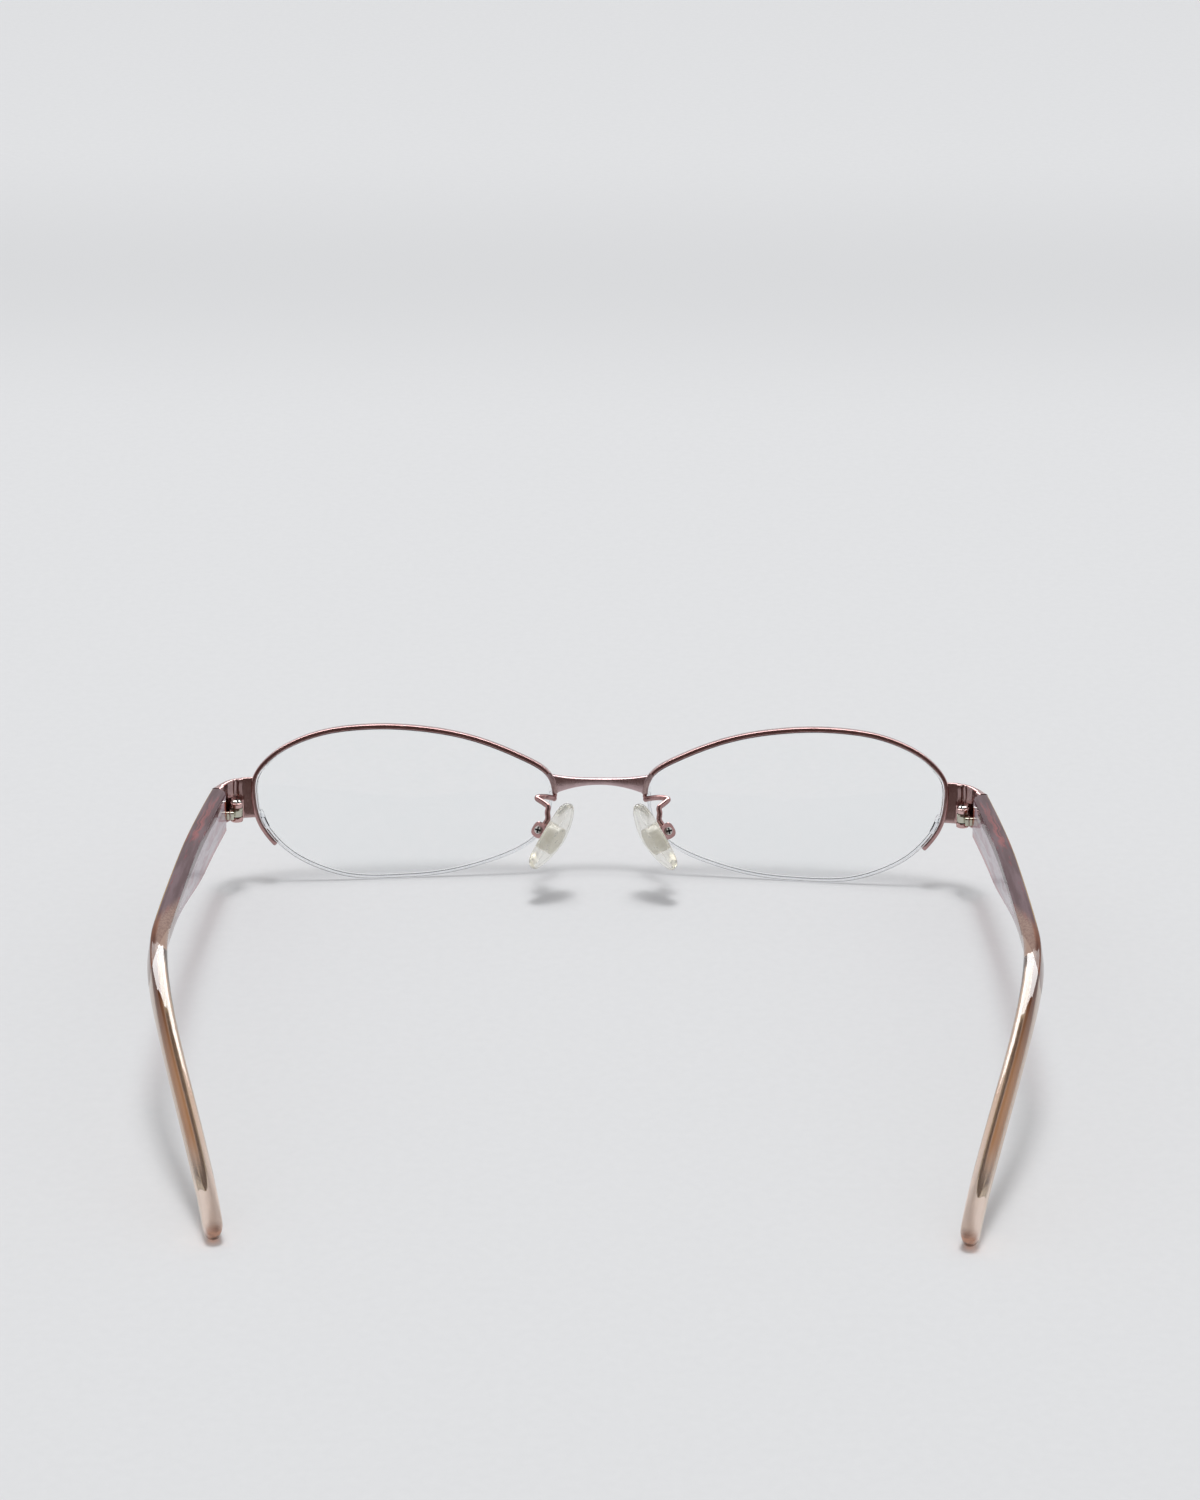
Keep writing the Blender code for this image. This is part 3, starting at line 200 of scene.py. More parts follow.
# Each clear stuff: its tones and patterns, its optics, and how it tints light that passes it flat and at a slant
clears = {
    # CR-39 lens, cast, with a quarter-wave anti-reflection coating: hardly a mirror, and a trace of wiping marks
    "coatedLens": {
        "pale": "#ffffff", "deep": "#fdfefe", "cloud": 0.004, "roughness": (0.0, 0.012), "grain": 0.0015,
        "optics": {"IOR": 1.50, "Transmission Weight": 1, "Thin Film Thickness": 110, "Thin Film IOR": 1.24},
        "passed": ("#fefefe", "#e2e2e4"),
    },
    # the same lens where the wheel has cut its groove, wetted by the cord's wax: hardly seen, darker to lamp light
    "polishedLensEdge": {
        "pale": "#ffffff", "deep": "#fbfcfd", "cloud": 0.0008, "roughness": (0.0, 0.03), "grain": 0.0004,
        "optics": {"IOR": 1.03, "Transmission Weight": 1}, "passed": ("#dcdcdd", "#a0a0a2"),
    },
    # nylon monofilament, drawn: a clear thread with a soft shine, made faint as the photograph shows it
    "drawnNylon": {
        "pale": "#fdfdfe", "deep": "#f6f6f8", "cloud": 0.001, "roughness": (0.01, 0.05), "grain": 0.0004,
        "optics": {"IOR": 1.26, "Transmission Weight": 0.98}, "passed": ("#c4c4c5", "#8a8a8c"),
    },
    # silicone nose pad, moulded: milky clear with a straw tinge and a satin skin; its rim throws the darker shadow
    "mouldedSilicone": {
        "pale": "#fefdf8", "deep": "#f8f6ee", "cloud": 0.002, "roughness": (0.10, 0.20), "grain": 0.0006,
        "relief": (0.0009, 0.00002, 0.10), "optics": {"IOR": 1.41, "Transmission Weight": 0.90},
        "passed": ("#ffffff", "#1a1918"), "darkRim": (0.36, 0.58),
    },
    # polycarbonate plate, moulded: cloudy yellow-grey under the clear pad
    "mouldedInsert": {
        "pale": "#ebe8de", "deep": "#d6d2c2", "cloud": 0.0005, "roughness": (0.25, 0.4), "grain": 0.0005,
        "relief": (0.0004, 0.00001, 0.3), "optics": {"IOR": 1.58, "Transmission Weight": 0.45},
        "passed": ("#f4f2ea", "#e6e4da"),
    },
}


def clearMaterial(name, values):
    material, tree, shader = startMaterial(name)
    layFinish(tree, shader, values)
    setInputs(tree, shader, values["optics"])
    share = None
    if "darkRim" in values:
        fromMiddle = addNode(tree, "Attribute", attribute_name="grain").outputs["Fac"]
        share = addNode(tree, "MapRange", (fromMiddle, *values["darkRim"]), **smooth)
    letLampsThrough(tree, shader, *values["passed"], share)
    return material


def stockPlace(tree):
    # where a point lies in the straight stock, in mm: along the temple, across it and up it
    place = addNode(tree, "Attribute", attribute_name="grain").outputs["Vector"]
    inMm = addNode(tree, "VectorMath", {0: place, "Scale": 1000}, operation="SCALE")
    parts = addNode(tree, "SeparateXYZ", {"Vector": inMm}).outputs
    return inMm, parts["X"], parts["Y"], parts["Z"]


mauveAcetate = {
    "ground": "#5f464a", "cloud": "#775f65", "vein": "#87454b", "streak": "#a35c5c", "dust": "#241c22",
    "innerLayer": "#cdc2cb", "innerCloud": "#bda4ad", "rosyFoot": "#c99ca0", "outerLayer": "#b3935c",
    # creaseShade is painted crease shade: the maroon line below the inner top edge
    "creaseShade": "#6b2c31", "cut": "#b0603f",
    "tail": "#a18477", "tailDeep": "#8d6f64", "tailOuter": "#5c3222", "tailVein": "#8a563c",
    "stretch": (0.09, 1.1, 0.55), "roughness": (0.05, 0.10), "passed": ("#e2d6d6", "#ddd0d0"),
    # each streak: its middle across in mm, its lean in mm per mm, half its width, its first and last place in mm
    "streaks": (
        (-0.85, 0.030, 0.22, 3.0, 24.0), (-0.30, 0.012, 0.16, 6.0, 25.0), (0.35, -0.024, 0.20, 5.0, 22.0),
        (0.95, -0.030, 0.14, 9.0, 26.0), (-0.15, 0.0, 0.40, 19.5, 26.5),
    ),
}


def mauveMaterial(values):
    # cellulose acetate, laminated, sawn and tumbled: mauve marble between a pale inner and a clear gold outer layer
    material, tree, shader = startMaterial("marbledAcetate")
    place, along, out, up = stockPlace(tree)
    stretched = addNode(tree, "Mapping", {"Vector": place, "Scale": values["stretch"]})
    clouds = addNode(tree, "TexNoise", {"Vector": stretched, "Scale": 0.9, "Detail": 3})
    veins = addNode(tree, "TexNoise", {"Vector": stretched, "Scale": 1.6, "Detail": 2.5, "Distortion": 0.4})
    wobble = addNode(tree, "TexNoise", {"Vector": place, "Scale": 0.35, "Detail": 2})
    fine = addNode(tree, "TexNoise", {"Vector": place, "Scale": 4.0, "Detail": 3})
    cloudy = addNode(tree, "MapRange", (clouds, 0.35, 0.65), **smooth)
    grainy = addNode(tree, "MapRange", (fine, 0.35, 0.65), **smooth)

    veined = addNode(tree, "MapRange", (veins, 0.60, 0.68, 0, 0.7), **smooth)
    colour = layTones(tree, values["ground"], (cloudy, values["cloud"]), (veined, values["vein"]))
    sway = addNode(tree, "MapRange", (wobble, 0.3, 0.7, -0.22, 0.22), **smooth)
    shifted = addNode(tree, "Math", (out, sway), operation="ADD")
    broken = addNode(tree, "MapRange", (fine, 0.3, 0.7, 0.15, 0.75), **smooth)
    for middle, lean, half, first, last in values["streaks"]:
        line = addNode(tree, "Math", (shifted, middle), **minus)
        line = addNode(tree, "Math", (line, addNode(tree, "Math", (along, lean), **times)), **minus)
        away = addNode(tree, "Math", (line, 0), operation="ABSOLUTE")
        near = addNode(tree, "MapRange", (away, half * 0.35, half * 1.3, 1, 0), **smooth)
        begun = addNode(tree, "MapRange", (along, first, first + 2.5), **smooth)
        unended = addNode(tree, "MapRange", (along, last - 1.2, last, 1, 0), **smooth)
        share = product(tree, near, product(tree, begun, unended), broken)
        colour = layTones(tree, colour, (share, values["streak"]))

    # the inner layer, rosy at its foot, and worn off along the top edge, more so towards the back
    lilac = addNode(tree, "MapRange", (veins, 0.4, 0.65), **smooth)
    low = addNode(tree, "MapRange", (up, -2.0, -3.0), **smooth)
    foot = product(tree, low, addNode(tree, "MapRange", (clouds, 0.25, 0.6, 0.4, 1.0), **smooth))
    inner = layTones(tree, values["innerLayer"], (lilac, values["innerCloud"]), (foot, values["rosyFoot"]))
    topEdge = addNode(tree, "MapRange", (along, 22, 55.5, 3.5, 2.1), **smooth)
    worn = addNode(tree, "MapRange", (along, 1, 12, 0.30, 1.60), **smooth)
    below = addNode(tree, "Math", (addNode(tree, "Math", (topEdge, up), **minus), worn), **minus)
    inside = addNode(tree, "MapRange", (out, -1.28, -1.36), **smooth)
    kept = addNode(tree, "MapRange", (below, -0.10, 0.10), **smooth)
    colour = layTones(tree, colour, (product(tree, inside, kept), inner))

    # the outer layer is clear gold: deep along its edges, and hardly more than a tinge over the marble on its face
    height = addNode(tree, "Math", (up, 0), operation="ABSOLUTE")
    fromEdge = addNode(tree, "Math", (topEdge, height), **minus)
    golden = addNode(tree, "Math", (
        addNode(tree, "MapRange", (fromEdge, 0.20, 0.60, 1, 0), **smooth),
        addNode(tree, "MapRange", (clouds, 0.3, 0.7, 0.10, 0.34), **smooth),
    ), operation="MAXIMUM")
    outer = layTones(tree, colour, (golden, values["outerLayer"]))
    outside = addNode(tree, "MapRange", (out, 1.14, 1.26), **smooth)

    # a maroon line of painted crease shade along the inner face, just below its top edge, where a chamfer's crease
    # would run, and the orange of the wet cut beside the hinge
    fromCreaseShade = addNode(tree, "Math", (addNode(tree, "Math", (below, 0.12), **minus), 0), operation="ABSOLUTE")
    creaseShadeShare = product(
        tree, addNode(tree, "MapRange", (fromCreaseShade, 0.05, 0.20, 1, 0), **smooth),
        product(
            tree, addNode(tree, "MapRange", (along, 5, 7), **smooth),
            addNode(tree, "MapRange", (along, 11, 16, 0.85, 0), **smooth),
        ),
        inside,
    )
    leant = addNode(tree, "MapRange", (up, -1.8, -0.4, 2.1, 3.4), **smooth)
    reach = addNode(tree, "Math", (along, leant), **minus)
    cut = product(
        tree, addNode(tree, "MapRange", (reach, -0.1, 0.1, 1, 0), **smooth),
        addNode(tree, "MapRange", (up, 2.0, 2.4, 1, 0), **smooth),
        addNode(tree, "MapRange", (out, -1.0, -1.2), **smooth),
    )
    cutTone = layTones(tree, values["cut"], (grainy, values["vein"]))

    # the mauve fades to tan before the slanted joint, later on the outer side, which is brown there
    tail = addNode(tree, "Math", (along, addNode(tree, "Math", (out, 3.2), **times)), **minus)
    brown = layTones(tree, values["tailOuter"], (cloudy, values["tailVein"]))
    outerHalf = addNode(tree, "MapRange", (out, 0.35, 0.85), **smooth)
    tan = layTones(tree, values["tail"], (grainy, values["tailDeep"]), (outerHalf, brown))
    colour = layTones(
        tree, colour, (outside, outer), (creaseShadeShare, values["creaseShade"]), (cut, cutTone),
        (addNode(tree, "MapRange", (tail, 53.0, 61.0), **smooth), tan),
        (addNode(tree, "MapRange", (fine, 0.25, 0.75, 0.0, 0.10), **smooth), values["dust"]),
    )
    setInputs(tree, shader, {
        "Base Color": colour, "IOR": 1.49, "Specular IOR Level": 0.15,
        "Roughness": addNode(tree, "MapRange", (fine, 0.3, 0.7, *values["roughness"]), **smooth),
        "Normal": addNode(tree, "Bump", {"Height": clouds, "Strength": 0.12, "Distance": 0.00003}),
    })
    # the sheet lets some rosy light through
    letLampsThrough(tree, shader, *values["passed"])
    return material


amberAcetate = {
    "pale": "#f5dac6", "deep": "#efcbb0", "clearEnd": "#fbe6d8", "outer": "#5e3222", "outerFaded": "#be8c66",
    # end is painted shade: the dark brown laid over the rounded end, where the tip meets the floor
    "edge": "#c98f45", "start": "#a98672", "end": "#8a5238",
    "stretch": (0.12, 0.6, 0.6), "roughness": (0.012, 0.035), "passed": ("#75645a", "#463a33"),
}


def amberMaterial(values):
    # cellulose acetate, clear rose amber, tumbled: tints what lies behind it peach, cloudy by the joint, brown
    # outside, and its rounded end painted dark brown as shade where the tip meets the floor
    material, tree, shader = startMaterial("clearAmberAcetate")
    place, along, out, _ = stockPlace(tree)
    stretched = addNode(tree, "Mapping", {"Vector": place, "Scale": values["stretch"]})
    clouds = addNode(tree, "TexNoise", {"Vector": stretched, "Scale": 1, "Detail": 2})
    faded = addNode(tree, "MapRange", (along, 76, 104), **smooth)
    outer = layTones(tree, values["outer"], (faded, values["outerFaded"]))
    share = product(
        tree, addNode(tree, "MapRange", (out, 0.05, 0.50), **smooth),
        addNode(tree, "MapRange", (along, 108, 119, 1, 0), **smooth),
    )
    colour = layTones(
        tree, values["pale"], (addNode(tree, "MapRange", (clouds, 0.35, 0.65), **smooth), values["deep"]),
        (addNode(tree, "MapRange", (along, 104, 116), **smooth), values["clearEnd"]), (share, outer),
        (addNode(tree, "MapRange", (out, 1.30, 1.42, 0, 0.8), **smooth), values["edge"]),
        # the rounded end painted dark brown: painted shade where the tip meets the floor
        (addNode(tree, "MapRange", (along, 122.6, 124.4), **smooth), values["end"]),
    )
    clearing = addNode(tree, "MapRange", (along, 70.6, 72.0), **smooth)
    clear = product(
        tree, addNode(tree, "MapRange", (clearing, 0, 1, 0.1, 0.93), **smooth),
        addNode(tree, "MapRange", (share, 0, 1, 1, 0.3), **smooth),
    )
    setInputs(tree, shader, {
        "Base Color": layTones(tree, values["start"], (clearing, colour)),
        "Roughness": addNode(tree, "MapRange", (clouds, 0.3, 0.7, *values["roughness"]), **smooth),
        "Transmission Weight": clear, "IOR": 1.49, "Coat Weight": 0.55, "Coat Roughness": 0.02,
    })
    letLampsThrough(tree, shader, *values["passed"])
    return material


def cutMaterial():
    # the mitred front of the temple, polished across the sheet: orange-brown and wet, so that it mirrors the hinge
    material, tree, shader = startMaterial("polishedMitre")
    clouds = addNode(tree, "TexNoise", {"Vector": stockPlace(tree)[0], "Scale": 1.4, "Detail": 2})
    cloudy = addNode(tree, "MapRange", (clouds, 0.35, 0.65), **smooth)
    setInputs(tree, shader, {
        "Base Color": layTones(tree, "#b5623f", (cloudy, "#8a4630")),
        "Roughness": addNode(tree, "MapRange", (clouds, 0.3, 0.7, 0.03, 0.07), **smooth),
        "IOR": 1.49, "Coat Weight": 1, "Coat Roughness": 0.03,
    })
    return material


made = [metalMaterial(name, *values) for name, values in metals.items()]
made += [clearMaterial(name, values) for name, values in clears.items()]
made += [mauveMaterial(mauveAcetate), amberMaterial(amberAcetate), cutMaterial()]
finishes = {material.name: material for material in made}
print("materials made")


# Shapes

# each kind of piece: its finishes, the body that carries it, the node that it replaces, its slot, its sharp angle
pieces = {
    "lens": ("coatedLens polishedLensEdge", "front", "lens", "clear_lens", 32),
    "nylonTail": ("drawnNylon", "front", None, "clear_nylon", 50),
    "rim": ("platedRim", "front", "rim", "mauve_metal", 40),
    "rimLiner": ("drawnNylon", "front", "rim_liner", "clear_nylon", 32),
    "nylonCord": ("drawnNylon", "front", "nylon_cord", "clear_nylon", 50),
    "bridgeBand": ("satinPlate", "front", "bridge", "mauve_metal", 32),
    "endpiece": ("bentPlate", "front", "endpiece", "mauve_metal", 32),
    "hingeFront": ("rosyKnuckle", "front", "hinge_front", "mauve_metal", 32),
    "hingeScrew": ("turnedSteel", "front", "hinge_screw", "polished_steel", 32),
    "temple": ("marbledAcetate polishedMitre", "temple", "temple", "mauve_acetate", 34),
    "templeTip": ("clearAmberAcetate", "temple", "temple_tip", "amber_acetate", 32),
    "templeCore": ("nickelSilver", "temple", "temple_core", "polished_steel", 32),
    "hingeTemple": ("nickelSilver", "temple", "hinge_temple", "polished_steel", 32),
    "nosePad": ("mouldedSilicone", "nose_pad", "nose_pad", "clear_pad_plastic", 50),
    "padInsert": ("mouldedInsert", "nose_pad", "pad_insert", "clear_pad_plastic", 32),
    "padBox": ("platedWire", "front", "pad_box", "mauve_metal", 32),
    "padScrew": ("turnedSteel", "front", "pad_screw", "polished_steel", 32),
    "padArm": ("platedWire", "front", "pad_arm", "mauve_metal", 32),
}


def finishPiece(bm, kind, half=("", "", 0)):
    finish, body, node, slotName, sharp = pieces[kind]
    ending = "_" + half[1] if half[1] else ""
    name = kind + half[0]
    bmesh.ops.translate(bm, verts=bm.verts, vec=originShift)
    bmesh.ops.remove_doubles(bm, verts=bm.verts, dist=2e-7)
    bmesh.ops.recalc_face_normals(bm, faces=bm.faces)
    mesh = meshFrom(bm, name, *(finishes[part] for part in finish.split()))
    mesh.shade_smooth()
    mesh.set_sharp_from_angle(angle=math.radians(sharp))
    thing = addObject(name, mesh)
    # seen through clear pieces the room is at its full brightness, which would lay glare on the floor around them
    thing.visible_diffuse = not slotName.startswith("clear")
    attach(thing, body if body == "front" else body + ending)
    if node:
        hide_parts(node + ending)
    return thing


def chain(bm, verts):
    return [bm.edges.get(pair) for pair in zip(verts, verts[1:])]


def walkRing(verts):
    # the verts of a closed ring in the order that its edges give
    ring, left = [verts[0]], set(verts[1:])
    while left:
        others = (edge.other_vert(ring[-1]) for edge in ring[-1].link_edges)
        ring.append(next(vert for vert in others if vert in left))
        left.remove(ring[-1])
    return ring


def sweep(bm, rings, caps="flat", grain=None, frontFinish=0, secondBands=()):
    # a ring of points, extruded from station to station; grain gives each point its place in the straight stock,
    # and the second finish goes on the bands that start at the rings named
    layer = bm.verts.layers.float_vector.get("grain") if grain else None
    loops = [walkRing(bmesh.ops.create_circle(bm, segments=len(rings[0]), radius=0.001)["verts"])]
    for _ in rings[1:]:
        ring = loops[-1]
        grown = bmesh.ops.extrude_edge_only(bm, edges=chain(bm, ring + ring[:1]))["geom"]
        fresh = {item for item in grown if isinstance(item, bmesh.types.BMVert)}
        loops.append([
            next(edge.other_vert(vert) for edge in vert.link_edges if edge.other_vert(vert) in fresh)
            for vert in ring
        ])
    for number, (loop, points) in enumerate(zip(loops, rings)):
        for k, (vert, point) in enumerate(zip(loop, points)):
            vert.co = point
            if layer:
                vert[layer] = grain[number][k]
    for number in secondBands:
        for pair in zip(loops[number], loops[number + 1]):
            for face in bm.edges.get(pair).link_faces:
                face.material_index = 1
    for loop in (loops[0], loops[-1]):
        half = len(loop) // 2
        if caps == "flat":
            bmesh.ops.contextual_create(bm, geom=chain(bm, loop + loop[:1]))
        elif caps == "strips":
            made = bmesh.ops.bridge_loops(bm, edges=chain(bm, loop[:half]) + chain(bm, loop[half:]))["faces"]
            if loop is loops[0]:
                for face in made:
                    face.material_index = frontFinish
        elif caps == "point":
            middle = sum((vert.co for vert in loop), Vector()) / len(loop)
            bmesh.ops.pointmerge(bm, verts=loop, merge_co=middle)
    return bm


def frameMatrix(place, xAxis, yAxis, zAxis):
    return Matrix.Translation(place) @ Matrix((xAxis, yAxis, zAxis)).transposed().to_4x4()


def addBlock(bm, matrix, low, high, bevel=0.0):
    # a block between two corners of the matrix's frame, with softened edges
    size = [high[i] - low[i] for i in range(3)]
    middle = [(high[i] + low[i]) / 2 for i in range(3)]
    place = matrix @ Matrix.Translation(middle) @ Matrix.Diagonal((*size, 1))
    verts = bmesh.ops.create_cube(bm, size=1, matrix=place)["verts"]
    if bevel:
        edges = list({edge for vert in verts for edge in vert.link_edges})
        bmesh.ops.bevel(bm, geom=edges, offset=bevel, segments=2, affect="EDGES", profile=0.5, material=-1)
    return bm


def circle(radius, z, points, start=0.0):
    turns = [2 * math.pi * (k + start) / points for k in range(points)]
    return [(radius * math.cos(turn), radius * math.sin(turn), z) for turn in turns]


def turned(bm, matrix, profile, points=48):
    # a body turned about the matrix's Z axis from (radius, height) points
    return sweep(bm, [[matrix @ Vector(spot) for spot in circle(radius, z, points)] for radius, z in profile])


def roundedCorners(corners, radii, steps=3):
    # a polygon whose corners are rounded, the same number of points for the same radii
    points = []
    for i, corner in enumerate(corners):
        spot = Vector(corner)
        if not radii[i]:
            points.append(spot)
            continue
        before = (Vector(corners[i - 1]) - spot).normalized() * radii[i]
        after = (Vector(corners[(i + 1) % len(corners)]) - spot).normalized() * radii[i]
        points += [spot + before * (1 - k / steps) ** 2 + after * (k / steps) ** 2 for k in range(steps + 1)]
    return points


def softSection(width, height, cornerX, cornerY, steps=5, shares=()):
    # over the top of a rounded rectangle and back underneath, so that each point has its partner below
    cornerX, cornerY = min(cornerX, width * 0.49), min(cornerY, height * 0.49)
    x, y = width / 2 - cornerX, height / 2 - cornerY
    turns = [math.radians(90 * k / steps) for k in range(steps + 1)]
    top = [(-x - cornerX * math.cos(a), y + cornerY * math.sin(a)) for a in turns]
    top += [((share - 0.5) * width, height / 2) for share in shares]
    top += [(x + cornerX * math.sin(a), y + cornerY * math.cos(a)) for a in turns]
    return top + [(px, -py) for px, py in reversed(top)]


def tubeRings(path, radii, sides):
    # round sections square to the path, turned from one to the next without twist
    along = (path[1] - path[0]).normalized()
    axis = along.orthogonal().normalized()
    rings = []
    for i, spot in enumerate(path):
        ahead = (path[min(i + 1, len(path) - 1)] - path[max(i - 1, 0)]).normalized()
        axis = along.rotation_difference(ahead) @ axis
        axis = (axis - ahead * axis.dot(ahead)).normalized()
        along = ahead
        other = ahead.cross(axis)
        rings.append([spot + (axis * x + other * y) * radii[i] for x, y, _ in circle(1, 0, sides)])
    return rings


def hollowOut(thing, cutter):
    # cuts a small recess and keeps the result as the piece's own mesh; the recess's walls take the cutter's black
    # finish, painted shade
    bmesh.ops.recalc_face_normals(cutter, faces=cutter.faces)
    tool = addObject("recess", meshFrom(cutter, "recess", finishes["paintedShadeRecess"]))
    change = thing.modifiers.new("recess", "BOOLEAN")
    change.object = tool
    change.solver = "EXACT"
    change.material_mode = "TRANSFER"
    bpy.context.view_layer.update()
    done = bpy.data.meshes.new_from_object(thing.evaluated_get(bpy.context.evaluated_depsgraph_get()))
    thing.modifiers.remove(change)
    before, block = thing.data, tool.data
    thing.data = done
    done.name = thing.name
    bpy.data.meshes.remove(before)
    bpy.data.objects.remove(tool)
    bpy.data.meshes.remove(block)
    done.set_sharp_from_angle(angle=math.radians(32))


def smoothStep(value, low, high):
    share = min(max((value - low) / (high - low), 0), 1)
    return share * share * (3 - 2 * share)


def across(side, point):
    return Vector((side * point[0], point[1], point[2]))


def between(a, b, c, d, t):
    # Catmull-Rom from b to c
    return 0.5 * (2 * b + (c - a) * t + (2 * a - 5 * b + 4 * c - d) * t * t + (3 * b - a - 3 * c + d) * t ** 3)


def bezier(points, t):
    a, b, c, d = points
    return a * (1 - t) ** 3 + b * (3 * t * (1 - t) ** 2) + c * (3 * t * t * (1 - t)) + d * t ** 3


def smoothPath(points, steps, closed=False):
    if closed:
        ends = points[-1:] + points + points[:2]
    else:
        ends = [points[0] * 2 - points[1]] + points + [points[-1] * 2 - points[-2]]
    curve = [
        between(*four, step / steps)
        for four in zip(ends, ends[1:], ends[2:], ends[3:]) for step in range(steps)
    ]
    return curve if closed else curve + [points[-1]]


def lengthsAlong(curve):
    lengths = [0.0]
    for a, b in zip(curve, curve[1:]):
        lengths.append(lengths[-1] + (b - a).length)
    return lengths


def placeAt(lengths, target):
    # the step of a curve that a length falls in, and the share of that step
    i = min(max(bisect_left(lengths, target) - 1, 0), len(lengths) - 2)
    return i, (target - lengths[i]) / (lengths[i + 1] - lengths[i])


def evenPoints(curve, count, closed=False):
    ends = curve + curve[:1] if closed else curve
    lengths = lengthsAlong(ends)
    steps = count if closed else count - 1
    spots = []
    for k in range(count):
        i, share = placeAt(lengths, lengths[-1] * k / steps)
        spots.append(ends[i].lerp(ends[i + 1], share))
    return spots


# The lenses, and the edge that rims, liners and cords follow

lens = {
    "width": 0.0510, "height": 0.0265, "gap": 0.0164, "thickness": 0.0020, "dome": 0.0012,
    "grooveDepth": 0.0006, "grooveWidth": 0.0006, "hiddenDepth": 0.00018, "edgeBevel": 0.00012,
    "wrapRadius": 0.360, "tilt": math.radians(12), "points": 224,
    # shares of half the width and half the height, from the lowest point up the nasal side and over the top
    "shape": (
        (-0.03, -1.00), (-0.36, -0.932), (-0.68, -0.747), (-0.886, -0.52), (-0.975, -0.24), (-1.00, 0.07),
        (-0.949, 0.358), (-0.749, 0.585), (-0.459, 0.808), (-0.157, 0.94), (0.188, 1.00), (0.533, 0.955),
        (0.804, 0.774), (0.969, 0.502), (1.00, 0.208), (0.941, -0.238), (0.729, -0.675), (0.384, -0.962),
    ),
    # how far each ring of a face lies from the lens's middle to its edge
    "faceRings": (0.0, 0.05, 0.12, 0.2, 0.3, 0.4, 0.5, 0.6, 0.7, 0.8, 0.88, 0.95, 0.985),
}
lensMiddle = Vector((lens["gap"] / 2 + lens["width"] / 2, lens["height"] / 2))


def frontPoint(side, out, forward, up):
    # a point of the tilted and wrapped front: out from the middle, forward of its plane, up along it
    tilt = lens["tilt"]
    y = forward * math.cos(tilt) + up * math.sin(tilt) - out * out / (2 * lens["wrapRadius"])
    return across(side, (out, y, up * math.cos(tilt) - forward * math.sin(tilt)))


def makeOutline():
    curve = smoothPath([Vector(spot) for spot in lens["shape"]], 16, closed=True)
    low = Vector((min(p.x for p in curve), min(p.y for p in curve)))
    high = Vector((max(p.x for p in curve), max(p.y for p in curve)))
    fitted = [
        Vector((
            lens["gap"] / 2 + lens["width"] * (p.x - low.x) / (high.x - low.x),
            lens["height"] * (p.y - low.y) / (high.y - low.y),
        ))
        for p in curve
    ]
    lowest = min(range(len(fitted)), key=lambda i: fitted[i].y)
    points = evenPoints(fitted[lowest:] + fitted[:lowest], lens["points"], closed=True)
    normals = []
    for i in range(len(points)):
        along = points[(i + 2) % len(points)] - points[i - 2]
        normals.append(Vector((-along.y, along.x)).normalized())
    return points, normals


outline, normals = makeOutline()
outlineStep = (outline[1] - outline[0]).length


def outlinePlace(height, temporal):
    half = len(outline) // 2
    for i in range(half, len(outline)) if temporal else range(half):
        a, b = outline[i].y, outline[(i + 1) % len(outline)].y
        if min(a, b) <= height <= max(a, b):
            return i + (height - a) / (b - a)
    return half


def edgePlaces(first, last):
    return [first] + [i for i in range(math.ceil(first), math.ceil(last)) if first + 0.2 < i < last - 0.2] + [last]


def edgePoint(side, place, offset, forward):
    # a point beside the lens edge: offset outwards from it, and forward of the lens's middle plane
    low = math.floor(place)
    count = len(outline)
    a, b = (outline[i % count] + normals[i % count] * offset for i in (low, low + 1))
    spot = a.lerp(b, place - low)
    return frontPoint(side, spot.x, forward, spot.y)


rim = {
    "clearance": 0.0001, "thickness": 0.00075, "depth": 0.0018, "channelDepth": 0.00035,
    "nasalEnd": 0.0138, "temporalEnd": 0.0072, "round": 0.00034, "endRound": 0.00035, "endSize": 0.45,
    "endSteps": (0.0, 0.12, 0.3, 0.55, 0.8), "skin": 0.00004,
}
liner = {"clearance": 0.00008, "nasalEnd": 0.0152, "temporalEnd": 0.0120}
cord = {"diameter": 0.00044, "endGap": 0.0003}
cordTail = {
    "low": 0.0097, "high": 0.0134, "inward": 0.00050, "width": 0.00085, "thickness": 0.00030, "gap": 0.00002,
}
rimOutside = rim["clearance"] + rim["thickness"]
linerSpan = outlinePlace(liner["nasalEnd"], False), outlinePlace(liner["temporalEnd"], True)


def grooveAt(place):
    # the groove is deep where the cord lies in it, and shallow under the rim, where the thin liner fills it
    first, last = linerSpan
    under = smoothStep(place, first - 0.3, first + 1.5) * (1 - smoothStep(place, last - 1.5, last + 0.3))
    return lens["grooveDepth"] + (lens["hiddenDepth"] - lens["grooveDepth"]) * under


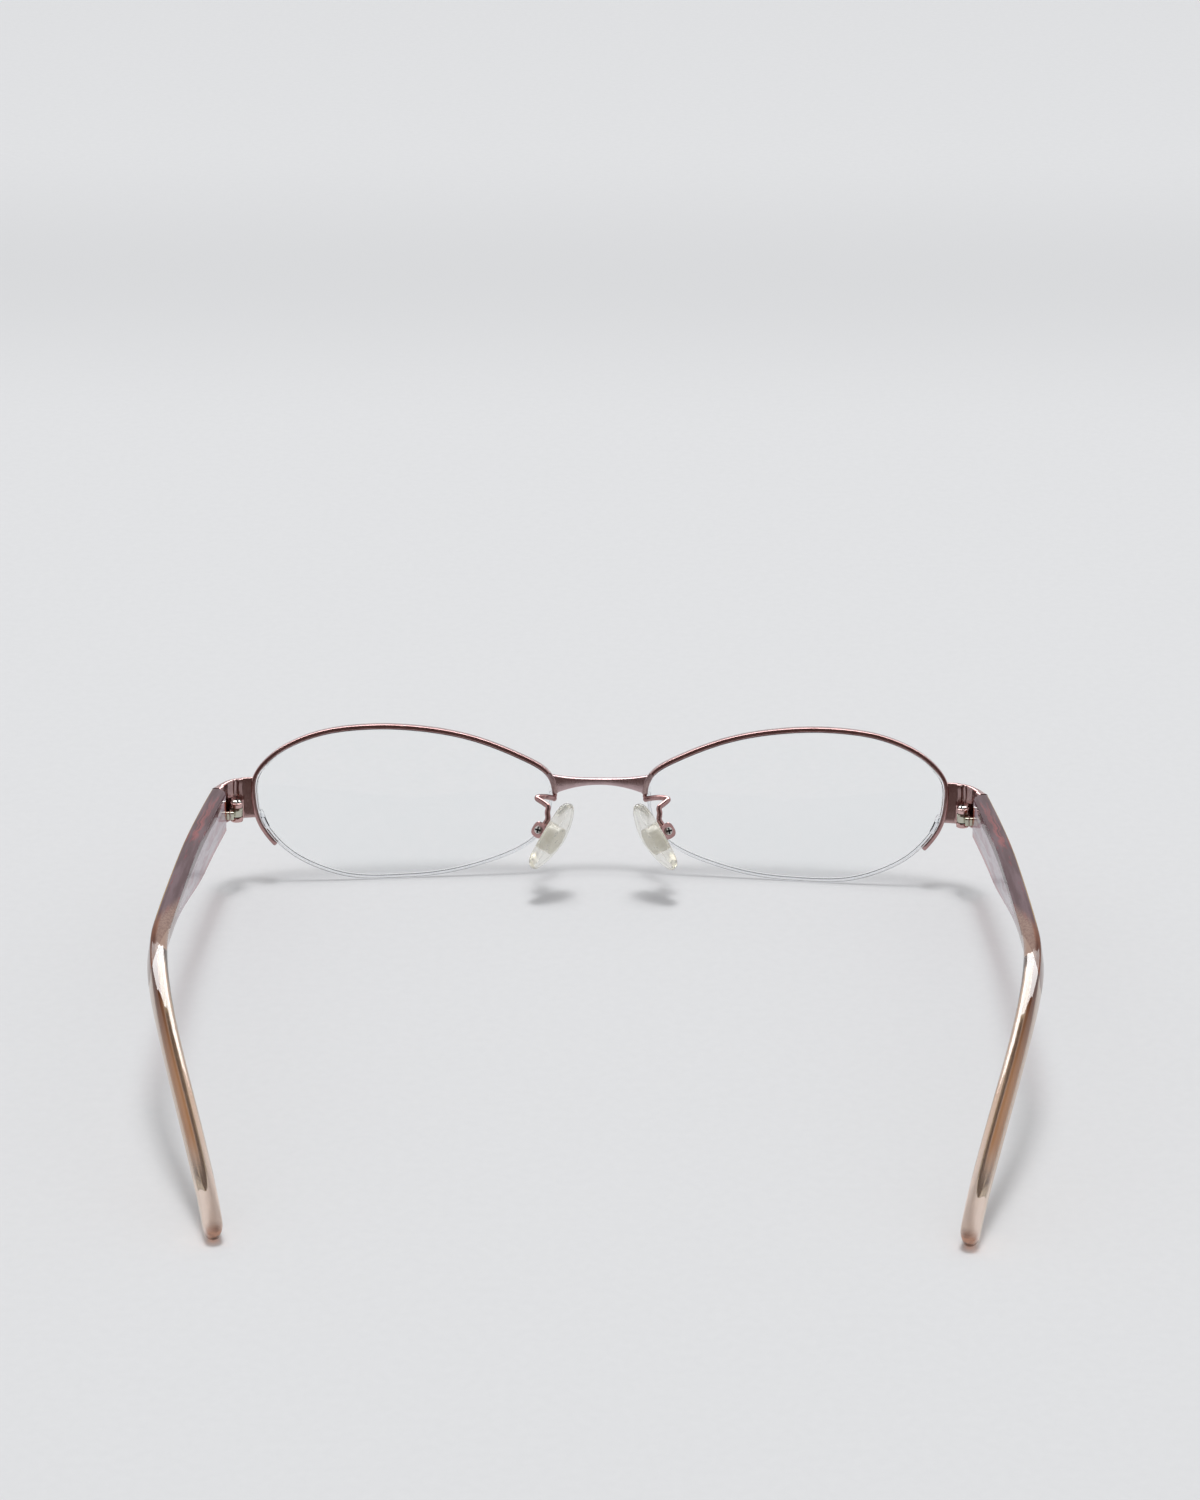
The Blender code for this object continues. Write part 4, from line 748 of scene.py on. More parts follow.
def makeLens(half):
    side = half[2]
    front, lip, bevel = lens["thickness"] / 2, lens["grooveWidth"] / 2, lens["edgeBevel"]

    def faceRing(share, forward):
        spots = [lensMiddle.lerp(spot, share) for spot in outline]
        return [frontPoint(side, p.x, forward + lens["dome"] * (1 - share * share), p.y) for p in spots]

    rings = [faceRing(share, front) for share in lens["faceRings"]]
    # each step of the edge: its offset outwards, its place forward and its share of the groove's depth
    edge = (
        (-bevel, front, 0), (0, front - bevel, 0), (0, lip, 0), (0, lip, 1), (0, -lip, 1), (0, -lip, 0),
        (0, -front + bevel, 0), (-bevel, -front, 0),
    )
    rings += [
        [edgePoint(side, i, offset - grooveAt(i) * groove, forward) for i in range(len(outline))]
        for offset, forward, groove in edge
    ]
    # the three bands of the groove itself
    groove = range(len(lens["faceRings"]) + 2, len(lens["faceRings"]) + 5)
    rings += [faceRing(share, -front) for share in reversed(lens["faceRings"])]
    finishPiece(sweep(bmesh.new(), rings, caps="point", secondBands=groove), "lens", half)


def makeCordTail(half):
    # the cord's free end, pressed flat against the back of the lens inside the rim
    first, last = outlinePlace(cordTail["high"], True), outlinePlace(cordTail["low"], True)
    behind = -lens["thickness"] / 2 - cordTail["thickness"] / 2 - cordTail["gap"]
    rings = []
    for k in range(25):
        share = k / 24
        size = math.sqrt(max(1 - abs(2 * share - 1) ** 6, 0.004))
        section = softSection(cordTail["width"] * size, cordTail["thickness"] * size, 0.0004, 0.00015, 6)
        place = first + (last - first) * share
        rings.append([edgePoint(half[2], place, off - cordTail["inward"], behind + deep) for off, deep in section])
    finishPiece(sweep(bmesh.new(), rings), "nylonTail", half)


def makeRim(half):
    near, far = rim["clearance"], rimOutside - rim["skin"]
    front, lip = rim["depth"] / 2 - rim["skin"], lens["grooveWidth"] / 2
    floor = near + rim["channelDepth"]
    corners = (
        (near, -front), (near, -lip), (floor, -lip), (floor, lip), (near, lip), (near, front), (far, front),
        (far, -front),
    )
    soft = rim["round"]
    section = roundedCorners(corners, (0.00005, 0.00003, 0, 0, 0.00003, 0.00005, soft, soft), steps=5)
    middle = Vector(((near + far) / 2, 0))
    first, last = outlinePlace(rim["nasalEnd"], False), outlinePlace(rim["temporalEnd"], True)
    reach = rim["endRound"]
    ends = [reach * share for share in rim["endSteps"]]
    stations = [(first + d / outlineStep, d) for d in ends]
    stations += [(i, reach) for i in edgePlaces(first + reach / outlineStep, last - reach / outlineStep)]
    stations += [(last - d / outlineStep, d) for d in reversed(ends)]
    rings = []
    for place, d in stations:
        size = rim["endSize"] + (1 - rim["endSize"]) * math.sqrt(max(1 - (1 - d / reach) ** 2, 0))
        ring = [middle + (spot - middle) * size for spot in section]
        rings.append([edgePoint(half[2], place, offset, forward) for offset, forward in ring])
    finishPiece(sweep(bmesh.new(), rings), "rim", half)


def makeLiner(half):
    deep = lens["grooveWidth"] / 2 - liner["clearance"]
    inner = -lens["hiddenDepth"] + liner["clearance"] / 2
    outer = rim["clearance"] + rim["channelDepth"] - liner["clearance"]
    section = ((inner, -deep), (inner, deep), (outer, deep), (outer, -deep))
    rings = [[edgePoint(half[2], i, *spot) for spot in section] for i in edgePlaces(*linerSpan)]
    finishPiece(sweep(bmesh.new(), rings), "rimLiner", half)


def makeCord(half):
    depth = lens["grooveDepth"] - cord["diameter"] / 2 - liner["clearance"]
    gap = cord["endGap"] / outlineStep
    places = edgePlaces(linerSpan[1] + gap, len(outline) + linerSpan[0] - gap)
    path = [edgePoint(half[2], place, -depth, 0) for place in places]
    rings = tubeRings(path, [cord["diameter"] / 2] * len(path), 12)
    finishPiece(sweep(bmesh.new(), rings), "nylonCord", half)


for half in halves:
    for make in (makeLens, makeCordTail, makeRim, makeLiner, makeCord):
        make(half)
print("lenses, rims, liners and cords made")


# Bridge

bridge = {
    "depth": 0.0015, "arch": 0.0008, "endLow": 0.0146, "endHigh": 0.0178, "middleLow": 0.0159,
    "middleHigh": 0.0170, "round": 0.00022, "crown": 0.050, "into": 0.0001,
    "lapThickness": 0.0002, "lapInto": 0.00005, "lapEdges": (0.00002, 0.00098),
}


def sideOut(height, temporal):
    # how far out the rim's outer side lies at a height up the front
    middle = len(outline) // 2
    places = range(middle, len(outline)) if temporal else range(middle)
    spots = [outline[i] + normals[i] * rimOutside for i in places]
    if temporal:
        spots.reverse()
    for a, b in zip(spots, spots[1:]):
        if a.y <= height <= b.y:
            return a.x + (b.x - a.x) * (height - a.y) / (b.y - a.y)
    return spots[-1].x


def makeBridge():
    rings = []
    for step in range(-40, 41):
        s = step / 40
        low = bridge["middleLow"] + (bridge["endLow"] - bridge["middleLow"]) * abs(s) ** 2
        high = bridge["middleHigh"] + (bridge["endHigh"] - bridge["middleHigh"]) * abs(s) ** 2.6
        forward = bridge["arch"] * (1 - s * s)
        section = softSection(
            1, bridge["depth"], bridge["round"] / (high - low), bridge["round"],
            shares=[k / 14 for k in range(2, 13)],
        )
        ring = []
        for share, depth in section:
            level = share + 0.5
            depth += bridge["crown"] * (high - low) * (2 * share) ** 2 * (-1 if depth > 0 else 1)
            reach = sideOut(bridge["endLow"] + (bridge["endHigh"] - bridge["endLow"]) * level, False) + bridge["into"]
            ring.append(frontPoint(1, s * reach, forward + depth, low + (high - low) * level))
        rings.append(ring)
    bm = sweep(bmesh.new(), rings, caps="strips")
    # each end of the band laps over the back of the rim, up to the lens edge
    back = -rim["depth"] / 2
    near, far = bridge["lapEdges"]
    front, behind = back + bridge["lapInto"], back - bridge["lapThickness"]
    lap = roundedCorners(((near, front), (near, behind), (far, behind), (far, front)), (0, 0.00012, 0.00012, 0), 4)
    first, last = outlinePlace(bridge["endLow"], False), outlinePlace(bridge["endHigh"], False)
    for _, _, side in halves:
        sweep(bm, [[edgePoint(side, first + (last - first) * k / 12, *spot) for spot in lap] for k in range(13)])
    finishPiece(bm, "bridgeBand")


makeBridge()
print("bridge made")


# Hinges and endpieces

hinge = {
    "out": lens["gap"] / 2 + lens["width"] + 0.0030, "back": 0.0055, "height": 0.0141, "lean": math.radians(5.3),
    "barrel": 0.0021, "knuckle": 0.00085, "middleKnuckle": 0.0015, "gap": 0.0001, "leafGap": 0.00005,
    "screw": 0.0007, "head": 0.0017, "headHeight": 0.0004, "seatGap": 0.00003, "chamfer": 0.00009,
    "leafLength": 0.0100, "leafThickness": 0.0008, "leafRise": 0.0020, "neck": 0.0010, "leafSoft": 0.00012,
    # the domed head: shares of its radius and of its rise
    "dome": (
        (0.97, 0), (1, 0.08), (1, 0.42), (0.985, 0.5), (0.9, 0.68), (0.75, 0.83), (0.55, 0.93), (0.3, 0.985),
        (0.12, 1),
    ),
    "slot": 0.00016, "slotTurn": math.radians(62),
}
temple = {
    "thickness": 0.0029, "height": 0.0070, "tipHeight": 0.0042, "inside": 0.0012, "frontBack": 0.0010,
    "frontRise": 0.0010, "mitreWidth": 0.00125, "mitreLength": 0.0021, "mitreFade": 0.007,
    "corner": 0.00026, "tipCorner": 0.0012, "frontSoft": 0.00012, "frontSoftReach": 0.0003,
    "length": 0.0640, "wideLength": 0.0220, "taperEnd": 0.0555, "bow": 0.0031, "twist": math.radians(10),
    "bendReach": 0.0200, "tipReach": 0.0136, "tipBack": 0.0515, "tipInward": 0.0130, "tipDrop": 0.026851,
    "tipSlope": math.radians(46), "tipTurn": math.radians(13), "endRound": 0.0022, "skin": 0.00013,
    "scarfPlace": 0.0700, "scarfLength": 0.0140, "scarfOverlap": 0.00015,
    "flatShares": (0.431, 0.477, 0.523, 0.569),
}
endpiece = {
    "thickness": 0.0012, "rearThickness": 0.0015, "low": 0.0119, "high": 0.0189, "corner": 0.0034,
    "reach": 0.0040, "splay": math.radians(25), "stopGap": 0.0003, "round": 0.00040, "into": 0.0001,
    # the inner line is bent at two places, lifted a little at the first, with small rounds
    "bends": (0, 0.40, 0.66, 1), "lift": 0.00012, "bendRound": 0.008,
    # each filed facet: where it starts and ends along the plate, and its lean as a share of the thickness
    "facets": ((-0.1, 0.215, 0.36), (0.315, 0.375, 0.30), (0.430, 0.85, 0.26)), "crease": 0.006,
}
barrelHalf = hinge["middleKnuckle"] / 2 + hinge["gap"] + hinge["knuckle"]


def hingeMatrix(side):
    # the hinge's frame: its axis is Z, forward is Y, and X points away from the middle
    lean = hinge["lean"]
    forward = Vector((0, math.cos(lean), -math.sin(lean)))
    axis = Vector((0, math.sin(lean), math.cos(lean)))
    place = Vector((side * hinge["out"], -hinge["back"], hinge["height"]))
    return frameMatrix(place, Vector((side, 0, 0)), forward, axis)


def endpieceSpots(side, level, outer):
    # the four points that a line along the endpiece bends by, at a level from 0 low to 1 high
    place = hingeMatrix(side)
    up = endpiece["low"] + (endpiece["high"] - endpiece["low"]) * level
    forward = endpiece["thickness"] / 2 * (1 if outer else -1)
    start = frontPoint(side, sideOut(up, True) - endpiece["into"], forward, up)
    x = temple["inside"] + temple["thickness"] - (0 if outer else endpiece["rearThickness"])
    z = temple["frontRise"] + temple["height"] * (level - 0.5)
    end = Vector((x, endpiece["stopGap"] - temple["frontBack"], z))
    turn = end + Vector((-math.sin(endpiece["splay"]), math.cos(endpiece["splay"]), 0)) * endpiece["corner"]
    along = Vector((side * (endpiece["reach"] - (0 if outer else endpiece["thickness"] / 2)), 0, 0))
    return start, start + along, place @ turn, place @ end


def bentPlace(line, t):
    # a place on the inner line, straight between its bends
    stops = endpiece["bends"]
    corners = [bezier(line, stop) for stop in stops]
    corners[1] = corners[1] + Vector((0, endpiece["lift"], 0))
    if t in (0, 1):
        return corners[0] if t == 0 else corners[3]
    total = Vector()
    for k in range(-3, 4):
        spot = min(max(t + endpiece["bendRound"] * k, 0), 1)
        part = 0 if spot < stops[1] else 1 if spot < stops[2] else 2
        total += corners[part].lerp(corners[part + 1], (spot - stops[part]) / (stops[part + 1] - stops[part]))
    return total / 7


def filedAt(t):
    # the plate is filed to flat facets that lean back at their tops, with upright creases left between them
    crease = endpiece["crease"]
    return sum(
        lean * smoothStep(t, first - crease, first + crease) * (1 - smoothStep(t, last - crease, last + crease))
        for first, last, lean in endpiece["facets"]
    )


def makeEndpiece(half):
    soft = endpiece["round"]
    section = softSection(
        1, 1, soft / temple["height"], soft / endpiece["rearThickness"], shares=[k / 16 for k in range(2, 15)],
    )
    lines = [
        (endpieceSpots(half[2], along + 0.5, False), endpieceSpots(half[2], along + 0.5, True), along, depth + 0.5)
        for along, depth in section
    ]
    rings = []
    for t in [0, 0.03] + [k / 160 for k in range(9, 157)] + [0.985, 1]:
        ring = []
        for inner, outer, along, share in lines:
            share += (1 - share) * filedAt(t) * (along + 0.5)
            ring.append(bentPlace(inner, t).lerp(bezier(outer, t), share))
        rings.append(ring)
    finishPiece(sweep(bmesh.new(), rings, caps="strips"), "endpiece", half)


def knuckleProfile(radius, low, high):
    chamfer = hinge["chamfer"]
    return (
        (radius - chamfer, low), (radius - chamfer * 0.3, low + chamfer * 0.3), (radius, low + chamfer),
        (radius, high - chamfer), (radius - chamfer * 0.3, high - chamfer * 0.3), (radius - chamfer, high),
    )


def makeHingeFront(half):
    place = hingeMatrix(half[2])
    toHinge = place.inverted()
    radius, soft = hinge["barrel"] / 2, hinge["leafSoft"]
    leafBack = radius + hinge["gap"]

    def seat(x, z):
        # where the leaf's front meets the endpiece's inner side
        line = endpieceSpots(half[2], 0.5 + (z - temple["frontRise"]) / temple["height"], False)
        spots = [toHinge @ bezier(line, k / 40) for k in range(41)]
        for a, b in zip(spots, spots[1:]):
            if a.x <= x <= b.x:
                return a.y + (b.y - a.y) * (x - a.x) / (b.x - a.x) - hinge["leafGap"]
        return spots[0].y - hinge["leafGap"]

    widths = [radius * (j / 4 - 1) for j in range(9)]
    rings = []
    for k in range(9):
        z = barrelHalf * (k / 4 - 1)
        edge = [(radius - soft, leafBack), (-radius + soft, leafBack), (-radius, leafBack + soft)]
        edge += [(x, seat(x, z)) for x in widths] + [(radius, leafBack + soft)]
        rings.append([place @ Vector((x, y, z)) for x, y in edge])
    bm = sweep(bmesh.new(), rings)
    wide = radius * 0.8
    for low, high in ((-barrelHalf, hinge["knuckle"] - barrelHalf), (barrelHalf - hinge["knuckle"], barrelHalf)):
        turned(bm, place, knuckleProfile(radius, low, high))
        addBlock(bm, place, (-wide, 0, low + 0.00006), (wide, leafBack + 0.0001, high - 0.00006), 0.00004)
    finishPiece(bm, "hingeFront", half)


def makeHingeScrew(half):
    shank, head = hinge["screw"] / 2, hinge["head"] / 2
    seat, rise = barrelHalf + hinge["seatGap"], hinge["headHeight"]
    profile = [(shank * 0.7, -barrelHalf), (shank, -barrelHalf + shank * 0.3), (shank, seat)]
    profile += [(head * out, seat + rise * up) for out, up in hinge["dome"]]
    thing = finishPiece(turned(bmesh.new(), hingeMatrix(half[2]), profile), "hingeScrew", half)
    # a driver slot across the domed head, its walls painted black as shade
    turn = Matrix.Translation(originShift) @ hingeMatrix(half[2]) @ Matrix.Rotation(hinge["slotTurn"], 4, "Z")
    wide, slot = head * 1.2, hinge["slot"]
    hollowOut(thing, addBlock(bmesh.new(), turn, (-wide, -slot, seat + rise * 0.2), (wide, slot, seat + rise * 2)))


# Temples, tips and cores, along one middle line

def templeHeight(s):
    taper = smoothStep(s, temple["wideLength"], temple["taperEnd"])
    return temple["height"] + (temple["tipHeight"] - temple["height"]) * taper


def makeTempleLine():
    # straight with a slight bow, begun a little before the temple's front, and then bent down and inwards
    steps, before = 480, 16
    xFront = temple["inside"] + temple["thickness"] / 2

    def topLevel(s):
        return temple["frontRise"] + (temple["height"] - templeHeight(s)) / 2

    line = []
    for k in range(-before, steps):
        q = k / steps
        bow = temple["bow"] * (1 - (1 - q) ** 2)
        s = q * temple["length"]
        line.append(Vector((xFront + bow, -temple["frontBack"] - s, topLevel(s))))
    start = Vector((xFront + temple["bow"], -temple["frontBack"] - temple["length"], topLevel(temple["length"])))
    end = start + Vector((-temple["tipInward"], -temple["tipBack"], -temple["tipDrop"]))
    slope, turn = temple["tipSlope"], temple["tipTurn"]
    backUp = Vector((math.cos(slope) * math.sin(turn), math.cos(slope) * math.cos(turn), math.sin(slope)))
    points = (start, start + Vector((0, -temple["bendReach"], 0)), end + backUp * temple["tipReach"], end)
    return line + [bezier(points, k / steps) for k in range(steps + 1)], before


templeLine, lineStart = makeTempleLine()
lineLengths = lengthsAlong(templeLine)
lineLengths = [length - lineLengths[lineStart] for length in lineLengths]
lineTotal = lineLengths[-1]
tipEnd = lineTotal - temple["skin"]


def onTemple(s):
    # the point at a distance along the temple, with the directions outwards and up
    i, share = placeAt(lineLengths, s)
    spot = templeLine[i].lerp(templeLine[i + 1], share)
    low, high = max(i - 7, 0), min(i + 8, len(templeLine) - 1)
    along = (templeLine[high] - templeLine[low]).normalized()
    outward = Vector((0, 0, 1)).cross(along).normalized()
    upward = along.cross(outward)
    turn = temple["twist"] * smoothStep(s, temple["wideLength"], temple["taperEnd"])
    turn *= 1 - smoothStep(s, temple["length"], temple["length"] + temple["bendReach"] + temple["tipReach"])
    twistedOut = outward * math.cos(turn) + upward * math.sin(turn)
    return spot, twistedOut, upward * math.cos(turn) - outward * math.sin(turn)


def templeRing(side, section, reachOf):
    # a section of (outward, up) points, each at its own distance along, with its place in the straight stock
    matrix = hingeMatrix(side)
    points, grain = [], []
    for out, up in section:
        s = reachOf(out)
        spot, outward, upward = onTemple(s)
        points.append(matrix @ (spot + outward * out + upward * up))
        grain.append(Vector((s, out, up)))
    return points, grain


def templeSection(s):
    rounder = smoothStep(s, temple["taperEnd"], temple["scarfPlace"] * 1.3)
    corner = temple["corner"] + (temple["tipCorner"] - temple["corner"]) * rounder
    nearEnd = min(max(0, s - (tipEnd - temple["endRound"])) / temple["endRound"], 1)
    shrink = max(math.sqrt(max(1 - nearEnd * nearEnd, 0)), 0.04)
    corner *= shrink
    wide = temple["thickness"] - temple["skin"]
    return softSection(wide * shrink, templeHeight(s) * shrink, corner, corner, 6, shares=temple["flatShares"])


def slantAt(s, out):
    # how far the slanted joint moves a point along, fading out on both sides of the joint
    fade = smoothStep(abs(s - temple["scarfPlace"]), 0, temple["scarfLength"] * 1.6)
    return temple["scarfLength"] * (1 - fade) * out / temple["thickness"]


def mitreAt(s, out):
    # how far back the front end is cut away on its inner side
    cut = max(0, temple["mitreWidth"] - temple["thickness"] / 2 - out) * temple["mitreLength"] / temple["mitreWidth"]
    return cut * (1 - smoothStep(s, 0, temple["mitreFade"]))


def grownWithGrain():
    bm = bmesh.new()
    bm.verts.layers.float_vector.new("grain")
    return bm


def sweepTemple(half, kind, stations, shapeAt, reachOf, finish=0):
    rows = [templeRing(half[2], shapeAt(s), lambda out, s=s: reachOf(s, out)) for s in stations]
    rings, grain = zip(*rows)
    bm = sweep(grownWithGrain(), list(rings), caps="strips", grain=list(grain), frontFinish=finish)
    finishPiece(bm, kind, half)


def makeTemple(half):
    end = temple["scarfPlace"]
    stations = [0.0, 0.0001, 0.0003, 0.0006] + [0.0012 + (end - 0.0012) * k / 100 for k in range(101)]

    def shapeAt(s):
        # the front end has a small round edge
        edge = min(s / temple["frontSoftReach"], 1)
        inset = 2 * temple["frontSoft"] * (1 - math.sqrt(max(1 - (1 - edge) ** 2, 0)))
        return [
            (out * (1 - inset / temple["thickness"]), up * (1 - inset / temple["height"]))
            for out, up in templeSection(s)
        ]

    sweepTemple(half, "temple", stations, shapeAt, lambda s, out: s + mitreAt(s, out) + slantAt(s, out), 1)


def makeTip(half):
    start = temple["scarfPlace"] - temple["scarfOverlap"]
    roundStart = tipEnd - temple["endRound"]
    stations = [start, start + 0.00016] + [start + 0.0003 + (roundStart - start - 0.0003) * k / 90 for k in range(91)]
    stations += [roundStart + temple["endRound"] * math.sin(math.radians(90 * k / 14)) for k in range(1, 15)]

    def shapeAt(s):
        # its first sections lie just inside the temple's end
        shrink = 0.99 if s < stations[2] else 1
        return [(out * shrink, up * shrink) for out, up in templeSection(s)]

    sweepTemple(half, "templeTip", stations, shapeAt, lambda s, out: s + slantAt(s, out))


core = {
    "width": 0.00086, "height": 0.00136, "corner": 0.00014, "endMargin": 0.0075, "pointLength": 0.0040,
    "pointSteps": (0.12, 0.25, 0.38, 0.5, 0.62, 0.74, 0.85, 0.93, 0.98, 1.0), "pointLoss": 0.85,
}
leafStart = hinge["neck"] * 0.8


def makeCore(half):
    start = leafStart + hinge["leafLength"] + cord["endGap"]
    pointStart = lineTotal - core["endMargin"] - core["pointLength"]
    stations = [(start + (pointStart - start) * k / 90, 1) for k in range(91)]
    for share in core["pointSteps"]:
        stations.append((pointStart + core["pointLength"] * share, 1 - core["pointLoss"] * share ** 2))
    rings = []
    for s, size in stations:
        corner = core["corner"] * size
        section = softSection(core["width"] * size, core["height"] * size, corner, corner, 4)
        rings.append(templeRing(half[2], section, lambda out, s=s: s)[0])
    finishPiece(sweep(bmesh.new(), rings), "templeCore", half)


def makeHingeTemple(half):
    place = hingeMatrix(half[2])
    thick, tall = hinge["leafThickness"] / 2, hinge["middleKnuckle"] / 2
    low, high = -temple["frontRise"] - tall, hinge["leafRise"] - temple["frontRise"]
    section = roundedCorners(((-thick, low), (-thick, high), (thick, high), (thick, low)), (0.00012,) * 4)
    bm = sweep(bmesh.new(), [
        templeRing(half[2], section, lambda out, k=k: leafStart + hinge["leafLength"] * k / 16)[0] for k in range(17)
    ])
    radius, inset = hinge["barrel"] / 2, tall - hinge["gap"] / 2
    inner = radius - hinge["neck"] * 0.8
    front = temple["frontBack"] + hinge["neck"] * 0.5
    back = front + hinge["neck"]
    leaf = temple["inside"] + temple["thickness"] / 2
    addBlock(bm, place, (inner, -back, -inset), (radius, -0.00006, inset), 0.00005)
    addBlock(bm, place, (inner + 0.00003, -back + 0.00003, -inset + 0.00003), (leaf, -front, inset - 0.00003), 0.00004)
    turned(bm, place, knuckleProfile(radius, -tall, tall))
    finishPiece(bm, "hingeTemple", half)


for half in halves:
    for make in (makeEndpiece, makeHingeFront, makeHingeScrew, makeTemple, makeTip, makeCore, makeHingeTemple):
        make(half)
print("endpieces, hinges and temples made")


# Nose pads and their arms

pad = {
    "length": 0.0130, "frontWidth": 0.0039, "backWidth": 0.0021, "frontFullness": 1.6, "backFullness": 3.2,
    "behindScrew": 0.0012, "thickness": 0.0020, "out": lens["gap"] / 2, "back": 0.0076, "height": 0.0107,
    "flare": math.radians(31), "splay": math.radians(31), "lean": math.radians(16),
    # its rings from face to back: shares of its outline and of half its thickness
    "rings": (
        (0.05, 1), (0.3, 1), (0.6, 1), (0.84, 1.0), (0.895, 0.93), (0.935, 0.8), (0.965, 0.6), (0.988, 0.3),
        (1.0, 0), (0.995, -0.2), (0.975, -0.38), (0.94, -0.54), (0.88, -0.7), (0.79, -0.82), (0.67, -0.91),
        (0.5, -0.965), (0.3, -0.99), (0.05, -1),
    ),
}
insert = {"length": 0.0050, "width": 0.0034, "thickness": 0.0014, "drop": 0.0005, "proud": 0.00003}
lug = {"thickness": 0.0008, "reach": 0.0030, "radius": 0.00075, "length": 0.0010}
padBox = {"length": 0.0028, "wall": 0.0005, "web": 0.0005, "rounding": 0.0012, "clearance": 0.0001, "mouthGap": 0.0008}
padScrew = {
    "diameter": 0.0007, "head": 0.0014, "headHeight": 0.0003, "seatGap": 0.00003,
    "dome": ((1, 0), (1, 0.5), (0.96, 0.72), (0.85, 0.88), (0.65, 0.96), (0.3, 1)),
    "recess": 0.00016, "recessTurns": (20, 110),
}
arm = {
    "diameter": 0.00095, "bent": 0.0007,
    "route": (
        (0.0017, -0.0019, 0.0012), (0.0031, -0.0033, 0.0018), (0.0035, -0.0040, 0.0018),
        (0.0026, -0.0050, 0.0015), (0.0018, -0.0058, 0.0011), (0.0019, -0.0063, 0.0003),
    ),
    # the wire's foot is drawn out into its braze
    "footSizes": (0.75, 0.97, 1.08, 1.12, 1.09, 1.04, 1.01),
}
boxHalfWidth = lug["thickness"] / 2 + padBox["clearance"] + padBox["wall"]
boxInsideEnd = lug["reach"] + lug["radius"] + padBox["clearance"]
boxEnd = boxInsideEnd + padBox["web"]
boxMouth = pad["thickness"] / 2 + padBox["mouthGap"]


def padMatrix(side):
    # X is the pad's width, Y its length and Z points away from the nose
    length = Vector((-math.tan(pad["flare"]), math.tan(pad["lean"]), 1)).normalized()
    toNose = Vector((-math.cos(pad["splay"]), -math.sin(pad["splay"]), 0))
    toNose = (toNose - length * toNose.dot(length)).normalized()
    width, length, outward = (across(side, axis) for axis in (toNose.cross(length), length, -toNose))
    place = across(side, (pad["out"], -pad["back"], pad["height"])) + Vector((arm["bent"], 0, 0))
    return frameMatrix(place, width, length, outward)


def insertMatrix(side):
    return padMatrix(side) @ Matrix.Translation((0, -insert["drop"], 0))


def lugTurn(side):
    # the pad screw's frame: Z runs along the screw, from its cross recess forward
    return insertMatrix(side) @ Matrix.Translation((0, 0, lug["reach"])) @ Matrix.Rotation(math.radians(90), 4, "Y")


def padRing(place, share, z):
    # an oval, fuller behind the screw than in front of it
    ring = []
    for x, y, _ in circle(1, 0, 72, 0.5):
        width, fullness = pad["frontWidth"], pad["frontFullness"]
        if x < 0:
            width, fullness = pad["backWidth"], pad["backFullness"]
        out = math.copysign(abs(x) ** (2 / fullness), x) * width
        along = math.copysign(abs(y) ** (2 / fullness), y) * pad["length"] / 2
        ring.append(place @ Vector((out * share - pad["behindScrew"], along * share, z)))
    return ring


def makePad(half):
    # the grain tells the material how near a point lies to the rim
    rings = [padRing(padMatrix(half[2]), share, pad["thickness"] / 2 * z) for share, z in pad["rings"]]
    grain = [[Vector((share, share, share))] * len(rings[0]) for share, _ in pad["rings"]]
    finishPiece(sweep(grownWithGrain(), rings, caps="point", grain=grain), "nosePad", half)


def makeInsert(half):
    place = insertMatrix(half[2])
    top = pad["thickness"] / 2 + insert["proud"]
    low = top - insert["thickness"]
    steps = ((0.9, low), (1.0, low + 0.0002), (1.0, top - 0.0001), (0.95, top))
    bm = sweep(bmesh.new(), [
        [
            place @ Vector((insert["width"] * size / 2 * x, insert["length"] * size / 2 * y, z))
            for x, y, _ in circle(1, 0, 48, 0.5)
        ]
        for size, z in steps
    ])
    thick, reach = lug["thickness"] / 2, lug["length"] / 2
    addBlock(bm, place, (-thick, -reach, low + 0.0007), (thick, reach, lug["reach"]), 0.00006)
    profile = ((0.9, -thick), (1, -thick + 0.00007), (1, thick - 0.00007), (0.9, thick))
    turned(bm, lugTurn(half[2]), [(lug["radius"] * size, z) for size, z in profile], 32)
    finishPiece(bm, "padInsert", half)


